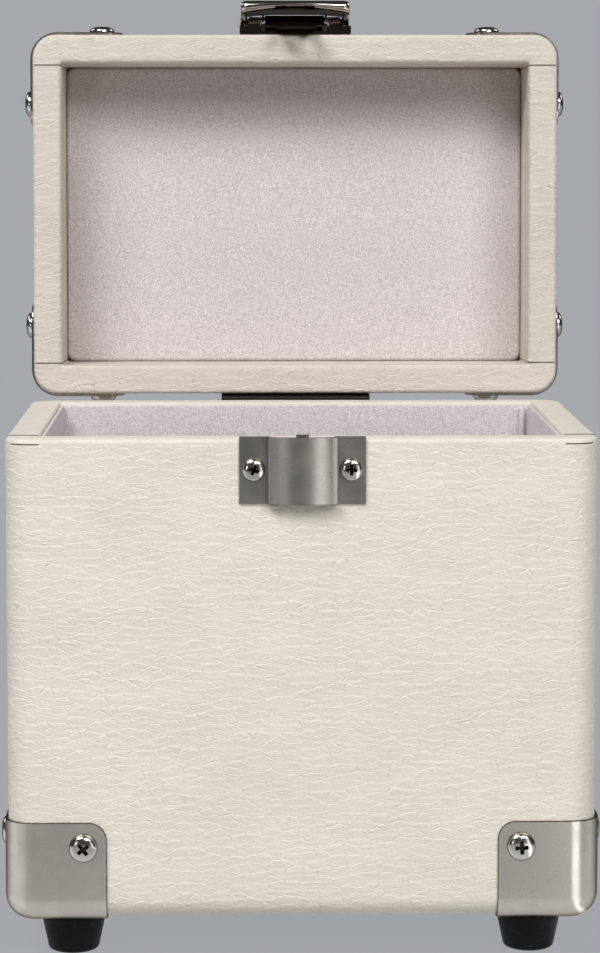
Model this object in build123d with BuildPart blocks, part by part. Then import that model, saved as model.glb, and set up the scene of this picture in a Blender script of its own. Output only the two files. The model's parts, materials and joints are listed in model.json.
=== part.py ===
"""Carrying case for seven-inch records: a covered board box with a hinged lid, standing open."""
from build123d import *
from math import atan, cos, degrees, radians, sin, sqrt, tan
import os

os.makedirs("parts", exist_ok=True)

# ---- Driving dimensions, in millimetres and degrees -------------------------------------------

# Case
case_width = 216.0  # X, over the covering
case_depth = 148.0  # Y, over the covering
body_height = 177.0  # from the rim down to the underside
lid_height = 47.0  # from the lid's mouth up to its top
rim_gap = 0.6  # between the closed lid's mouth and the body's rim
side_radius = 10.0  # the four upright edges
closed_radius = 8.0  # the edges round the underside and round the lid's top
open_angle = 92.1  # how far the lid opens before its hinge stops it

# Boards, covering and lining
board_thickness = 9.5
cover_thickness = 0.9
glue_line = 0.1
rim_radius = 1.0  # where the covering turns over the rim's outer edge
turn_in = 2.8  # how far the covering shows inside the mouth
lining_thickness = 1.4

# Corner caps
cap_width = 36.5
cap_height = 36.4
cap_thickness = 1.1
cap_corner_radius = 6.5
cap_screw_inset = 28.0  # from the case's side
cap_screw_rise = 27.2  # from the closed end

# Feet
foot_height = 16.5  # from the floor to the case's underside
foot_inset = 23.0
foot_top_radius = 12.0
foot_bottom_radius = 9.6
foot_edge_radius = 1.8
foot_recess_radius = 5.6
foot_recess_depth = 8.6
foot_washer_radius = 5.2
foot_washer_thickness = 1.0

# Screws
screw_clearance = 0.05
hole_spare = 0.4  # a blind hole is this much deeper than its screw
cap_screw_head_radius = 5.2
cap_screw_head_height = 2.8
cap_screw_radius = 1.9
cap_screw_length = 9.0
plate_screw_head_radius = 4.2
plate_screw_head_height = 2.2
plate_screw_radius = 1.7
plate_screw_length = 8.0
small_screw_head_radius = 3.1
small_screw_head_height = 1.6
small_screw_radius = 1.4
small_screw_length = 8.0
foot_screw_head_radius = 4.0
foot_screw_length = 16.0
dome_share = 0.8  # rounding of a head against its height
point_share = 0.6  # chamfer of a screw's end against its radius
recess_share = 1.1  # length of the cross recess against the head's radius
recess_width = 1.2
recess_depth = 1.3

# Keeper on the body's front
keeper_width = 45.7
keeper_height = 24.4
keeper_rise = 1.0  # the keeper's top above the rim
keeper_sheet = 1.0
bridge_width = 25.2
bridge_crest = 5.2  # how far the bridge's middle stands off the front
bridge_shoulder = 3.9  # the same at its two sides
keeper_screw_spacing = 35.3
keeper_screw_drop = 11.0
catch_width = 4.6
catch_sheet = 0.8
catch_overhang = 0.6
tooth_height = 1.5
tooth_length = 3.5
tooth_land = 0.5
tooth_drop = 9.5  # from the rim down to the tooth's holding face

# Latch on the lid's front
latch_base_sheet = 1.1
latch_base_bottom = 2.2  # above the rim
latch_base_top = 35.0
latch_curb_height = 3.3  # the base's turned-up front edge, beside the hook
latch_curb_gap = 0.85  # between the hook and those edges
latch_window_width = 27.6
latch_window_bottom = 6.5
latch_window_top = 27.0
latch_screw_spacing = 28.0
latch_screw_drop = 4.7
pivot_rise = 20.0  # lever pivot above the rim
pivot_stand = 5.8  # lever pivot off the lid's front
pivot_radius = 1.0
pivot_clearance = 0.05
ear_radius = 2.2
ear_sheet = 1.0
ear_gap = 0.3
rivet_head_radius = 1.8
rivet_tail_radius = 1.5
rivet_head_height = 0.6
rivet_play = 0.05  # between a rivet's head and the sheet beside it
lever_width = 44.4
lever_sheet = 1.0
lever_crest = 10.6
lever_shoulder = 9.0
lever_tail = 4.9  # behind the pivot
lever_foot = 3.0  # where the flat of the lever meets its lip, above the rim
cheek_inset = 0.3  # from the lever's edges
cheek_back_radius = 4.6  # the cheeks' edges from the pivot, behind it and under it
cheek_slant = 4.0  # how far the cheeks' front edges slope back
lip_root = 3.0  # overlap of the lip and the lever's flat
lip_drop = 2.0  # the lip's end below the rim
lip_stand = 12.6  # the lip's end off the lid's front
lip_bead_radius = 0.8
hook_pin_rise = 3.2  # hook pin from the lever pivot, away from the lip
hook_pin_stand = 1.7
hook_pin_radius = 0.7
hook_pin_overhang = 0.3
hook_lug_sheet = 0.9
hook_lug_gap = 0.3  # between the hook and the lugs beside it
hook_knuckle_radius = 1.4
hook_width = 24.7
hook_sheet = 0.8
hook_tongue_width = 16.0
hook_tongue_top = 4.0  # where the hook narrows, above the rim
hook_drop = 12.5  # the hook's end below the rim
hook_tip_stand = 1.0
hook_bend_rise = 12.0  # where the hook turns up towards its pin
hook_bend_stand = 3.6
hook_window_width = 7.2
hook_window_top = 4.0
hook_play = 0.15  # between the hook and the tooth that holds it

# Hinge at the back
hinge_width = 61.0
hinge_leaf_length = 17.0
hinge_sheet = 0.9
hinge_stand = 1.7  # hinge axis off the back
knuckle_radius = 1.6
knuckle_gap = 0.15
hinge_leaf_gap = 0.6  # between a leaf's edge and the other leaf's knuckles
knuckle_count = 5
hinge_pin_radius = 0.8
hinge_screw_reach = 10.0
hinge_screw_spacing = 19.5
stop_reach = 8.0
stop_sheet = 1.2
stop_gap = 0.05
stop_root = 8.0

# Handle on the lid's top
bracket_spacing = 122.0
bracket_plate_width = 18.0
bracket_plate_length = 31.0
bracket_plate_radius = 3.0
bracket_sheet = 1.4
bracket_saddle_width = 10.0
bracket_saddle_radius = 4.3
bracket_saddle_foot = 6.5
bracket_screw_spacing = 22.0
handle_stand = 7.2  # handle axis off the lid's top
rod_radius = 2.0
rod_clearance = 0.08
rod_bend_radius = 5.0
rod_end_overhang = 1.5
arm_spacing = 100.0
arm_length = 26.0
grip_length = 84.0
grip_depth = 15.6
grip_thickness = 12.4
grip_end_share = 0.84
ferrule_length = 3.0
ferrule_gap = 0.1

# ---- Derived sizes and frames -----------------------------------------------------------------

skin = cover_thickness + glue_line
wall = skin + board_thickness
rim_width = wall + skin
lining_outside = wall + glue_line
cap_stand = glue_line + cap_thickness
rim_height = foot_height + body_height
half_width = case_width / 2
half_depth = case_depth / 2
lean = open_angle - 90


def placed(frame, place):
    """The plane that stands at place in a frame's own coordinates."""
    return Plane(frame * place)


# The origin stands on the floor under the middle of the whole, from the keeper to the handle.
hinge_rise = rim_gap / 2
hinge_reach = half_depth + hinge_stand
handle_rise = rim_gap + lid_height + handle_stand - hinge_rise
front_reach = half_depth + bridge_crest
back_reach = (hinge_reach - hinge_reach * cos(radians(open_angle))
              + handle_rise * sin(radians(open_angle)) + grip_thickness / 2)
case_place = (front_reach - back_reach) / 2

# Each half has a frame at its mouth, whose Z runs into the half. The rim frame is the one that
# both halves share when the case is shut: X to the right, Y to the back, Z up.
rim_frame = Plane(origin=(0, case_place, rim_height), x_dir=(1, 0, 0), z_dir=(0, 0, 1))
hinge_place = Location((0, hinge_reach, hinge_rise))
opening = hinge_place * Location((0, 0, 0), (-open_angle, 0, 0)) * hinge_place.inverse()
lid_frame = Plane(rim_frame * opening)

body_mouth = Plane(origin=rim_frame.origin, x_dir=(1, 0, 0), z_dir=(0, 0, -1))
lid_mouth = lid_frame.offset(rim_gap)


def face_frame(half_frame, side):
    """Frame on a half's front (side -1) or back (side 1): Y up the face, Z out of it."""
    place = Plane(origin=(0, side * half_depth, 0), x_dir=(-side, 0, 0), z_dir=(0, side, 0))
    return placed(half_frame, place)


body_front = face_frame(rim_frame, -1)
body_back = face_frame(rim_frame, 1)
lid_front = face_frame(lid_frame, -1)
lid_back = face_frame(lid_frame, 1)
lid_top = lid_mouth.offset(lid_height)
handle_tilt = Plane(origin=(0, 0, handle_stand), x_dir=(1, 0, 0),
                    z_dir=(0, -sin(radians(lean)), cos(radians(lean))))
handle_frame = placed(lid_top, handle_tilt)


def across(face, x=0.0):
    """Plane of a side view on a face: its X runs up the face, its Y out of it."""
    return placed(face, Plane(origin=(x, 0, 0), x_dir=(0, 1, 0), z_dir=(1, 0, 0)))


def section(face, rise=0.0):
    """Plane of a cross-section of a face, seen from above: its Y runs out of the face."""
    return placed(face, Plane(origin=(0, rise, 0), x_dir=(1, 0, 0), z_dir=(0, -1, 0)))


def save(piece, label):
    """Name a finished piece and write it."""
    piece.part.label = label
    export_step(piece.part, f"parts/{label}.step")


# ---- Screws -----------------------------------------------------------------------------------

def drill(seats, radius, depth):
    """Bore a hole at each seat into the piece that is being built."""
    for seat in seats:
        with BuildSketch(seat) as hole:
            Circle(radius)
        extrude(hole.sketch, amount=-depth, mode=Mode.SUBTRACT)


def save_screws(label, seats, head_radius, head_height, radius, length):
    """A group of dome-headed screws with cross recesses, one on each seat."""
    with BuildPart() as screw:
        Cylinder(head_radius, head_height, align=(Align.CENTER, Align.CENTER, Align.MIN))
        fillet(screw.faces().sort_by(Axis.Z)[-1].edges(), head_height * dome_share)
        Cylinder(radius, length, align=(Align.CENTER, Align.CENTER, Align.MAX))
        chamfer(screw.faces().sort_by(Axis.Z)[0].edges(), radius * point_share)
        with BuildSketch(Plane.XY.offset(head_height)):
            Rectangle(head_radius * recess_share, recess_width)
            Rectangle(recess_width, head_radius * recess_share)
        extrude(amount=-recess_depth, mode=Mode.SUBTRACT)
    with BuildPart() as screws:
        with Locations(*seats):
            add(screw.part)
    save(screws, label)


def wall_seats(mouth, height):
    """Seats of the corner caps' screws: one on the front or back and one on the side of each."""
    seats = []
    depth = height - cap_screw_rise
    for side in (-1, 1):
        for end in (-1, 1):
            end_place = (side * (half_width - cap_screw_inset), end * (half_depth + cap_stand), depth)
            on_end = Plane(origin=end_place, x_dir=(1, 0, 0), z_dir=(0, end, 0))
            side_place = (side * (half_width + cap_stand), end * (half_depth - cap_screw_inset), depth)
            on_side = Plane(origin=side_place, x_dir=(0, 1, 0), z_dir=(side, 0, 0))
            seats.append(placed(mouth, on_end))
            seats.append(placed(mouth, on_side))
    return seats


body_cap_seats = wall_seats(body_mouth, body_height)
lid_cap_seats = wall_seats(lid_mouth, lid_height)

keeper_seats = []
latch_seats = []
for side in (-1, 1):
    keeper_place = Plane(origin=(side * keeper_screw_spacing / 2, -keeper_screw_drop, keeper_sheet))
    keeper_seats.append(placed(body_front, keeper_place))
    latch_place = Plane(origin=(side * latch_screw_spacing / 2, latch_base_top - latch_screw_drop,
                                latch_base_sheet))
    latch_seats.append(placed(lid_front, latch_place))

hinge_body_seats = []
hinge_lid_seats = []
for place in (-1, 0, 1):
    along = place * hinge_screw_spacing
    body_place = Plane(origin=(along, hinge_rise - hinge_screw_reach, hinge_sheet))
    hinge_body_seats.append(placed(body_back, body_place))
    lid_place = Plane(origin=(along, hinge_rise + hinge_screw_reach, hinge_sheet))
    hinge_lid_seats.append(placed(lid_back, lid_place))

bracket_seats = []
for side in (-1, 1):
    for end in (-1, 1):
        bracket_place = Plane(origin=(side * bracket_spacing / 2, end * bracket_screw_spacing / 2,
                                      bracket_sheet))
        bracket_seats.append(placed(lid_top, bracket_place))

foot_seats = []
foot_bottom = body_height + foot_height
for side in (-1, 1):
    for end in (-1, 1):
        place = Plane(origin=(side * (half_width - foot_inset), end * (half_depth - foot_inset),
                              foot_bottom - foot_recess_depth + foot_washer_thickness))
        foot_seats.append(placed(body_mouth, place))

cap_hole_radius = cap_screw_radius + screw_clearance
plate_hole_radius = plate_screw_radius + screw_clearance
small_hole_radius = small_screw_radius + screw_clearance


def drill_body():
    """Every screw hole that a piece of the body may have."""
    drill(body_cap_seats, cap_hole_radius, cap_screw_length + hole_spare)
    drill(keeper_seats, plate_hole_radius, plate_screw_length + hole_spare)
    drill(hinge_body_seats, small_hole_radius, small_screw_length + hole_spare)
    drill(foot_seats, plate_hole_radius, foot_screw_length + hole_spare)


def drill_lid():
    """Every screw hole that a piece of the lid may have."""
    drill(lid_cap_seats, cap_hole_radius, cap_screw_length + hole_spare)
    drill(latch_seats, small_hole_radius, small_screw_length + hole_spare)
    drill(hinge_lid_seats, small_hole_radius, small_screw_length + hole_spare)
    drill(bracket_seats, small_hole_radius, small_screw_length + hole_spare)


# ---- The two halves: boards, covering and lining ----------------------------------------------

def envelope(mouth, height, inset, start):
    """Block inset from a half's outer faces, from start to its rounded closed end."""
    with BuildPart() as block:
        with BuildSketch(mouth.offset(start)):
            RectangleRounded(case_width - 2 * inset, case_depth - 2 * inset, side_radius - inset)
        extrude(amount=height - inset - start)
        closed_end = block.faces().sort_by(Axis(mouth.origin, mouth.z_dir))[-1]
        fillet(closed_end.edges(), closed_radius - inset)
    return block.part


def save_board(label, mouth, block, low, high, drill_holes):
    """One board: the part of a half's block between two corners, with its screw holes."""
    with BuildPart() as board:
        add(block)
        with BuildSketch(mouth.offset(low[2])):
            with Locations(((low[0] + high[0]) / 2, (low[1] + high[1]) / 2)):
                Rectangle(high[0] - low[0], high[1] - low[1])
        extrude(amount=high[2] - low[2], mode=Mode.INTERSECT)
        drill_holes()
    save(board, label)


def save_boards(name, closed_name, mouth, height, front, drill_holes):
    """The five boards of a half; front is the sign of its front along the mouth frame's Y."""
    block = envelope(mouth, height, skin, skin)
    inner_x = half_width - wall
    inner_y = half_depth - wall
    end = height - skin
    save_board(f"{name}_{closed_name}_board", mouth, block,
               (-inner_x, -inner_y, height - wall), (inner_x, inner_y, end), drill_holes)
    for label, side in (("left", -1), ("right", 1)):
        edges = sorted((side * inner_x, side * half_width))
        save_board(f"{name}_{label}_board", mouth, block,
                   (edges[0], -inner_y, skin), (edges[1], inner_y, end), drill_holes)
    for label, side in (("front", front), ("back", -front)):
        edges = sorted((side * inner_y, side * half_depth))
        save_board(f"{name}_{label}_board", mouth, block,
                   (-half_width, edges[0], skin), (half_width, edges[1], end), drill_holes)


def save_cover(label, mouth, height, drill_holes):
    """The covering: a thin skin over a half, folded over the rim and a little way inside."""
    mouth_width = case_width - 2 * rim_width
    mouth_depth = case_depth - 2 * rim_width
    with BuildPart() as cover:
        add(envelope(mouth, height, 0, 0))
        rim = cover.faces().sort_by(Axis(mouth.origin, mouth.z_dir))[0]
        fillet(rim.edges(), rim_radius)
        add(envelope(mouth, height, cover_thickness, cover_thickness), mode=Mode.SUBTRACT)
        with BuildSketch(mouth):
            Rectangle(mouth_width, mouth_depth)
        extrude(amount=cover_thickness, mode=Mode.SUBTRACT)
        with BuildSketch(mouth):
            Rectangle(mouth_width + 2 * cover_thickness, mouth_depth + 2 * cover_thickness)
            Rectangle(mouth_width, mouth_depth, mode=Mode.SUBTRACT)
        extrude(amount=turn_in)
        drill_holes()
    save(cover, label)


def save_lining(label, mouth, height):
    """The felt lining: four walls and an end panel, on the inside of the boards."""
    start = turn_in + glue_line
    end = height - lining_outside
    width = case_width - 2 * lining_outside
    depth = case_depth - 2 * lining_outside
    with BuildPart() as lining:
        with BuildSketch(mouth.offset(start)):
            Rectangle(width, depth)
        extrude(amount=end - start)
        with BuildSketch(mouth.offset(start)):
            Rectangle(width - 2 * lining_thickness, depth - 2 * lining_thickness)
        extrude(amount=end - start - lining_thickness, mode=Mode.SUBTRACT)
    save(lining, label)


save_boards("body", "bottom", body_mouth, body_height, 1, drill_body)
save_boards("lid", "top", lid_mouth, lid_height, -1, drill_lid)
save_cover("body_cover", body_mouth, body_height, drill_body)
save_cover("lid_cover", lid_mouth, lid_height, drill_lid)
save_lining("body_lining", body_mouth, body_height)
save_lining("lid_lining", lid_mouth, lid_height)


# ---- Corner caps ------------------------------------------------------------------------------

def save_cap(label, mouth, height, side, end, drill_holes):
    """A pressed three-way cap on one corner of a half's closed end."""
    start = height - cap_height
    corner = (side * half_width, end * half_depth, height)
    views = (
        (Plane(origin=corner, x_dir=(1, 0, 0), z_dir=(0, 0, 1)), cap_width),
        (Plane(origin=corner, x_dir=(1, 0, 0), z_dir=(0, 1, 0)), cap_height),
        (Plane(origin=corner, x_dir=(0, 1, 0), z_dir=(1, 0, 0)), cap_height),
    )
    with BuildPart() as cap:
        add(envelope(mouth, height, -cap_stand, start))
        add(envelope(mouth, height, -glue_line, start - glue_line), mode=Mode.SUBTRACT)
        for view, tall in views:
            with BuildSketch(placed(mouth, view.offset(-case_width))):
                RectangleRounded(2 * cap_width, 2 * tall, cap_corner_radius)
            extrude(amount=2 * case_width, mode=Mode.INTERSECT)
        drill_holes()
    save(cap, label)


for side_name, side in (("left", -1), ("right", 1)):
    for end_name, end in (("front", 1), ("rear", -1)):
        save_cap(f"body_corner_{end_name}_{side_name}", body_mouth, body_height, side, end, drill_body)
    for end_name, end in (("front", -1), ("rear", 1)):
        save_cap(f"lid_corner_{end_name}_{side_name}", lid_mouth, lid_height, side, end, drill_lid)

for label, seats in (("body_corner_screws", body_cap_seats), ("lid_corner_screws", lid_cap_seats)):
    save_screws(label, seats, cap_screw_head_radius, cap_screw_head_height, cap_screw_radius,
                cap_screw_length)


# ---- Feet -------------------------------------------------------------------------------------

foot_top = body_height + cap_stand
foot_length = foot_bottom - foot_top
foot_taper = degrees(atan((foot_top_radius - foot_bottom_radius) / foot_length))


def save_foot(label, side, end):
    """A tapered rubber foot, recessed underneath for its washer and screw."""
    place = Plane(origin=(side * (half_width - foot_inset), end * (half_depth - foot_inset), foot_top))
    seat = placed(body_mouth, place)
    with BuildPart() as foot:
        with BuildSketch(seat):
            Circle(foot_top_radius)
        extrude(amount=foot_length, taper=foot_taper)
        tread = foot.faces().sort_by(Axis.Z)[0]
        fillet(tread.edges(), foot_edge_radius)
        with BuildSketch(seat.offset(foot_length)):
            Circle(foot_recess_radius)
        extrude(amount=-foot_recess_depth, mode=Mode.SUBTRACT)
        with BuildSketch(seat):
            Circle(plate_hole_radius)
        extrude(amount=foot_length, mode=Mode.SUBTRACT)
    save(foot, label)


for side_name, side in (("left", -1), ("right", 1)):
    for end_name, end in (("front", 1), ("rear", -1)):
        save_foot(f"foot_{end_name}_{side_name}", side, end)

with BuildPart() as foot_washers:
    for seat in foot_seats:
        with BuildSketch(seat):
            Circle(foot_washer_radius)
            Circle(plate_hole_radius, mode=Mode.SUBTRACT)
        extrude(amount=-foot_washer_thickness)
save(foot_washers, "foot_washers")
save_screws("foot_screws", foot_seats, foot_screw_head_radius, plate_screw_head_height,
            plate_screw_radius, foot_screw_length)


# ---- Keeper -----------------------------------------------------------------------------------

def crowned(width, shoulder, crest):
    """Outline of a crowned channel: straight sides up to its shoulders, and an arc over them."""
    half = width / 2
    with BuildSketch() as outline:
        with BuildLine():
            Polyline((-half, shoulder), (-half, 0), (half, 0), (half, shoulder))
            ThreePointArc((half, shoulder), (0, crest), (-half, shoulder))
        make_face()
    return outline.sketch


keeper_middle = keeper_rise - keeper_height / 2
with BuildPart() as keeper_plate:
    with BuildSketch(section(body_front, keeper_rise)):
        with Locations((0, keeper_sheet / 2)):
            Rectangle(keeper_width, keeper_sheet)
        add(crowned(bridge_width, bridge_shoulder, bridge_crest))
    extrude(amount=keeper_height)
    with BuildSketch(section(body_front, keeper_rise)):
        add(crowned(bridge_width - 2 * keeper_sheet, bridge_shoulder - keeper_sheet,
                    bridge_crest - keeper_sheet))
    extrude(amount=keeper_height, mode=Mode.SUBTRACT)
    with BuildSketch(body_front):
        with Locations((0, keeper_middle)):
            Rectangle(bridge_width - 2 * keeper_sheet, keeper_height)
    extrude(amount=keeper_sheet, mode=Mode.SUBTRACT)
    drill(keeper_seats, plate_hole_radius, plate_screw_length)
save(keeper_plate, "keeper_plate")

with BuildPart() as keeper_catch:
    with BuildSketch(body_front):
        with Locations((0, keeper_middle)):
            Rectangle(catch_width, keeper_height + 2 * catch_overhang)
    extrude(amount=catch_sheet)
    with BuildSketch(across(body_front)):
        tip = catch_sheet + tooth_height
        with BuildLine():
            Polyline((-tooth_drop, 0), (-tooth_drop, tip), (tooth_land - tooth_drop, tip),
                     (tooth_length - tooth_drop, catch_sheet), (tooth_length - tooth_drop, 0),
                     close=True)
        make_face()
    extrude(amount=catch_width / 2, both=True)
save(keeper_catch, "keeper_catch")
save_screws("keeper_screws", keeper_seats, plate_screw_head_radius, plate_screw_head_height,
            plate_screw_radius, plate_screw_length)


# ---- Hinge ------------------------------------------------------------------------------------

knuckle_pitch = hinge_width / knuckle_count
leaf_clear = knuckle_radius + hinge_leaf_gap


def stop_outline():
    """Ear that the lid's leaf comes down on when the lid is open."""
    root = hinge_stand + knuckle_radius
    slope = tan(radians(lean))
    level = hinge_rise + hinge_stand - hinge_sheet - stop_gap
    with BuildSketch() as outline:
        with BuildLine():
            Polyline((level - (root - hinge_stand) * slope, root),
                     (level - (stop_reach - hinge_stand) * slope, stop_reach),
                     (-knuckle_radius, stop_reach), (-stop_root, hinge_sheet),
                     (hinge_rise - leaf_clear, hinge_sheet), (hinge_rise - knuckle_radius / 2, root),
                     close=True)
        make_face()
    return outline.sketch


def save_leaf(label, back, direction, first_knuckle, seats, stop_sides):
    """Leaf of the hinge; direction is its side of the axis, first_knuckle the first it carries."""
    with BuildPart() as leaf:
        with BuildSketch(back):
            with Locations((0, hinge_rise + direction * (leaf_clear + hinge_leaf_length) / 2)):
                Rectangle(hinge_width, hinge_leaf_length - leaf_clear)
        extrude(amount=hinge_sheet)
        for place in range(first_knuckle, knuckle_count, 2):
            middle = (place + 0.5) * knuckle_pitch - hinge_width / 2
            with BuildSketch(across(back, middle)):
                with Locations((hinge_rise, hinge_stand)):
                    Circle(knuckle_radius)
                with Locations((hinge_rise + direction * leaf_clear / 2, hinge_sheet / 2)):
                    Rectangle(leaf_clear, hinge_sheet)
            extrude(amount=(knuckle_pitch - knuckle_gap) / 2, both=True)
        for side in stop_sides:
            with BuildSketch(across(back, side * (hinge_width - knuckle_gap - stop_sheet) / 2)):
                add(stop_outline())
            extrude(amount=stop_sheet / 2, both=True)
        with BuildSketch(across(back)):
            with Locations((hinge_rise, hinge_stand)):
                Circle(hinge_pin_radius + pivot_clearance)
        extrude(amount=hinge_width, both=True, mode=Mode.SUBTRACT)
        drill(seats, small_hole_radius, small_screw_length)
    save(leaf, label)


save_leaf("hinge_body_leaf", body_back, -1, 0, hinge_body_seats, (-1, 1))
save_leaf("hinge_lid_leaf", lid_back, 1, 1, hinge_lid_seats, ())

with BuildPart() as hinge_pin:
    with BuildSketch(across(body_back)):
        with Locations((hinge_rise, hinge_stand)):
            Circle(hinge_pin_radius)
    extrude(amount=hinge_width / 2, both=True)
save(hinge_pin, "hinge_pin")

for label, seats in (("hinge_body_screws", hinge_body_seats), ("hinge_lid_screws", hinge_lid_seats)):
    save_screws(label, seats, small_screw_head_radius, small_screw_head_height,
                small_screw_radius, small_screw_length)


# ---- Latch: base on the lid, lever and hook ---------------------------------------------------

cheek_outside = lever_width / 2 - cheek_inset
cheek_inside = cheek_outside - lever_sheet
ear_outside = cheek_inside - ear_gap
ear_inside = ear_outside - ear_sheet
hook_pin_place = (pivot_rise + hook_pin_rise, pivot_stand + hook_pin_stand)
pivot_bore = pivot_radius + pivot_clearance
lug_inside = hook_width / 2 + hook_lug_gap
lug_outside = lug_inside + hook_lug_sheet
curb_inside = hook_width / 2 + latch_curb_gap

with BuildPart() as latch_base:
    with BuildSketch(lid_front):
        with Locations((0, (latch_base_bottom + latch_base_top) / 2)):
            Rectangle(keeper_width, latch_base_top - latch_base_bottom)
        with Locations((0, (latch_window_bottom + latch_window_top) / 2)):
            Rectangle(latch_window_width, latch_window_top - latch_window_bottom, mode=Mode.SUBTRACT)
    extrude(amount=latch_base_sheet)
    with BuildSketch(lid_front):
        for side in (-1, 1):
            with Locations((side * (curb_inside + keeper_width / 2) / 2,
                            latch_base_bottom + latch_base_sheet / 2)):
                Rectangle(keeper_width / 2 - curb_inside, latch_base_sheet)
    extrude(amount=latch_curb_height)
    for side in (-1, 1):
        ear_middle = side * (ear_inside + ear_outside) / 2
        with BuildSketch(across(lid_front, ear_middle)):
            with Locations((pivot_rise, pivot_stand)):
                Circle(ear_radius)
            with Locations((pivot_rise, pivot_stand / 2)):
                Rectangle(2 * ear_radius, pivot_stand)
            with Locations((pivot_rise, pivot_stand)):
                Circle(pivot_bore, mode=Mode.SUBTRACT)
        extrude(amount=ear_sheet / 2, both=True)
    drill(latch_seats, small_hole_radius, small_screw_length)
save(latch_base, "latch_base")
save_screws("latch_base_screws", latch_seats, small_screw_head_radius, small_screw_head_height,
            small_screw_radius, small_screw_length)

shank_start = ear_inside - rivet_play
shank_end = cheek_outside + rivet_play
with BuildPart() as latch_pivot_rivets:
    for side in (-1, 1):
        for start, end, radius in (
            (shank_start - rivet_head_height, shank_start, rivet_tail_radius),
            (shank_start, shank_end, pivot_radius),
            (shank_end, shank_end + rivet_head_height, rivet_head_radius),
        ):
            with BuildSketch(across(lid_front, side * (start + end) / 2)):
                with Locations((pivot_rise, pivot_stand)):
                    Circle(radius)
            extrude(amount=(end - start) / 2, both=True)
save(latch_pivot_rivets, "latch_pivot_rivets")


def cheek_outline():
    """Side of the lever, seen along its pivot."""
    back = pivot_rise + cheek_back_radius
    under_top = lever_shoulder - lever_sheet / 2
    diagonal = cheek_back_radius * sqrt(0.5)
    with BuildSketch() as outline:
        with BuildLine():
            Polyline((back, pivot_stand), (pivot_rise + lever_tail, under_top), (lever_foot, under_top),
                     (lever_foot + cheek_slant, pivot_stand - cheek_back_radius),
                     (pivot_rise, pivot_stand - cheek_back_radius))
            ThreePointArc((pivot_rise, pivot_stand - cheek_back_radius),
                          (pivot_rise + diagonal, pivot_stand - diagonal), (back, pivot_stand))
        make_face()
        with Locations((pivot_rise, pivot_stand)):
            Circle(pivot_bore, mode=Mode.SUBTRACT)
    return outline.sketch


def lip_outline():
    """The flared finger lip at the lever's free end."""
    low = lever_shoulder - lever_sheet
    end = -lip_drop
    with BuildSketch() as outline:
        with BuildLine():
            Polyline((lever_foot + lip_root, low), (lever_foot + lip_root, lever_crest))
            ThreePointArc((lever_foot + lip_root, lever_crest),
                          (lever_foot / 2, lever_crest + lip_bead_radius),
                          (end, lip_stand + lip_bead_radius))
            Line((end, lip_stand + lip_bead_radius), (end, lip_stand - lip_bead_radius))
            ThreePointArc((end, lip_stand - lip_bead_radius), (lever_foot / 4, low + lip_bead_radius),
                          (lever_foot + lip_root, low))
        make_face()
        with Locations((end, lip_stand)):
            Circle(lip_bead_radius)
    return outline.sketch


with BuildPart() as latch_lever:
    with BuildSketch(section(lid_front, pivot_rise + lever_tail)):
        add(crowned(lever_width, lever_shoulder, lever_crest))
    extrude(amount=pivot_rise + lever_tail - lever_foot)
    with BuildSketch(section(lid_front, pivot_rise + lever_tail)):
        add(crowned(lever_width, lever_shoulder - lever_sheet, lever_crest - lever_sheet))
    extrude(amount=pivot_rise + lever_tail - lever_foot, mode=Mode.SUBTRACT)
    with BuildSketch(across(lid_front)):
        add(lip_outline())
    extrude(amount=lever_width / 2, both=True)
    for side in (-1, 1):
        with BuildSketch(across(lid_front, side * (cheek_inside + cheek_outside) / 2)):
            add(cheek_outline())
        extrude(amount=lever_sheet / 2, both=True)
        lug_top = lever_crest - lever_sheet
        with BuildSketch(across(lid_front, side * (lug_inside + lug_outside) / 2)):
            with Locations(hook_pin_place):
                Circle(hook_knuckle_radius)
            with Locations((hook_pin_place[0], (hook_pin_place[1] + lug_top) / 2)):
                Rectangle(2 * hook_knuckle_radius, lug_top - hook_pin_place[1])
            with Locations(hook_pin_place):
                Circle(hook_pin_radius + pivot_clearance, mode=Mode.SUBTRACT)
        extrude(amount=hook_lug_sheet / 2, both=True)
save(latch_lever, "latch_lever")

with BuildPart() as hook_pin:
    with BuildSketch(across(lid_front)):
        with Locations(hook_pin_place):
            Circle(hook_pin_radius)
    extrude(amount=lug_outside + hook_pin_overhang, both=True)
save(hook_pin, "hook_pin")


hook_root = hook_pin_place[1] + hook_knuckle_radius - hook_sheet
with BuildPart() as latch_hook:
    with BuildSketch(across(lid_front)):
        with BuildLine():
            Polyline((hook_pin_place[0], hook_root), (hook_bend_rise, hook_bend_stand),
                     (-hook_drop, hook_tip_stand), (-hook_drop, hook_tip_stand + hook_sheet),
                     (hook_bend_rise, hook_bend_stand + hook_sheet),
                     (hook_pin_place[0], hook_root + hook_sheet), close=True)
        make_face()
        with Locations(hook_pin_place):
            Circle(hook_knuckle_radius)
            Circle(hook_pin_radius + pivot_clearance, mode=Mode.SUBTRACT)
    extrude(amount=hook_width / 2, both=True)
    shoulder_width = (hook_width - hook_tongue_width) / 2
    shoulder_height = hook_tongue_top + hook_drop
    for side in (-1, 1):
        with BuildSketch(lid_front):
            with Locations((side * (hook_tongue_width + shoulder_width) / 2,
                            (hook_tongue_top - hook_drop) / 2)):
                Rectangle(shoulder_width, shoulder_height)
        extrude(amount=lever_crest, mode=Mode.SUBTRACT)
    window_bottom = -tooth_drop - hook_play
    with BuildSketch(lid_front):
        with Locations((0, (window_bottom - hook_window_top) / 2)):
            Rectangle(hook_window_width, -hook_window_top - window_bottom)
    extrude(amount=lever_crest, mode=Mode.SUBTRACT)
save(latch_hook, "latch_hook")


# ---- Handle -----------------------------------------------------------------------------------

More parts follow.
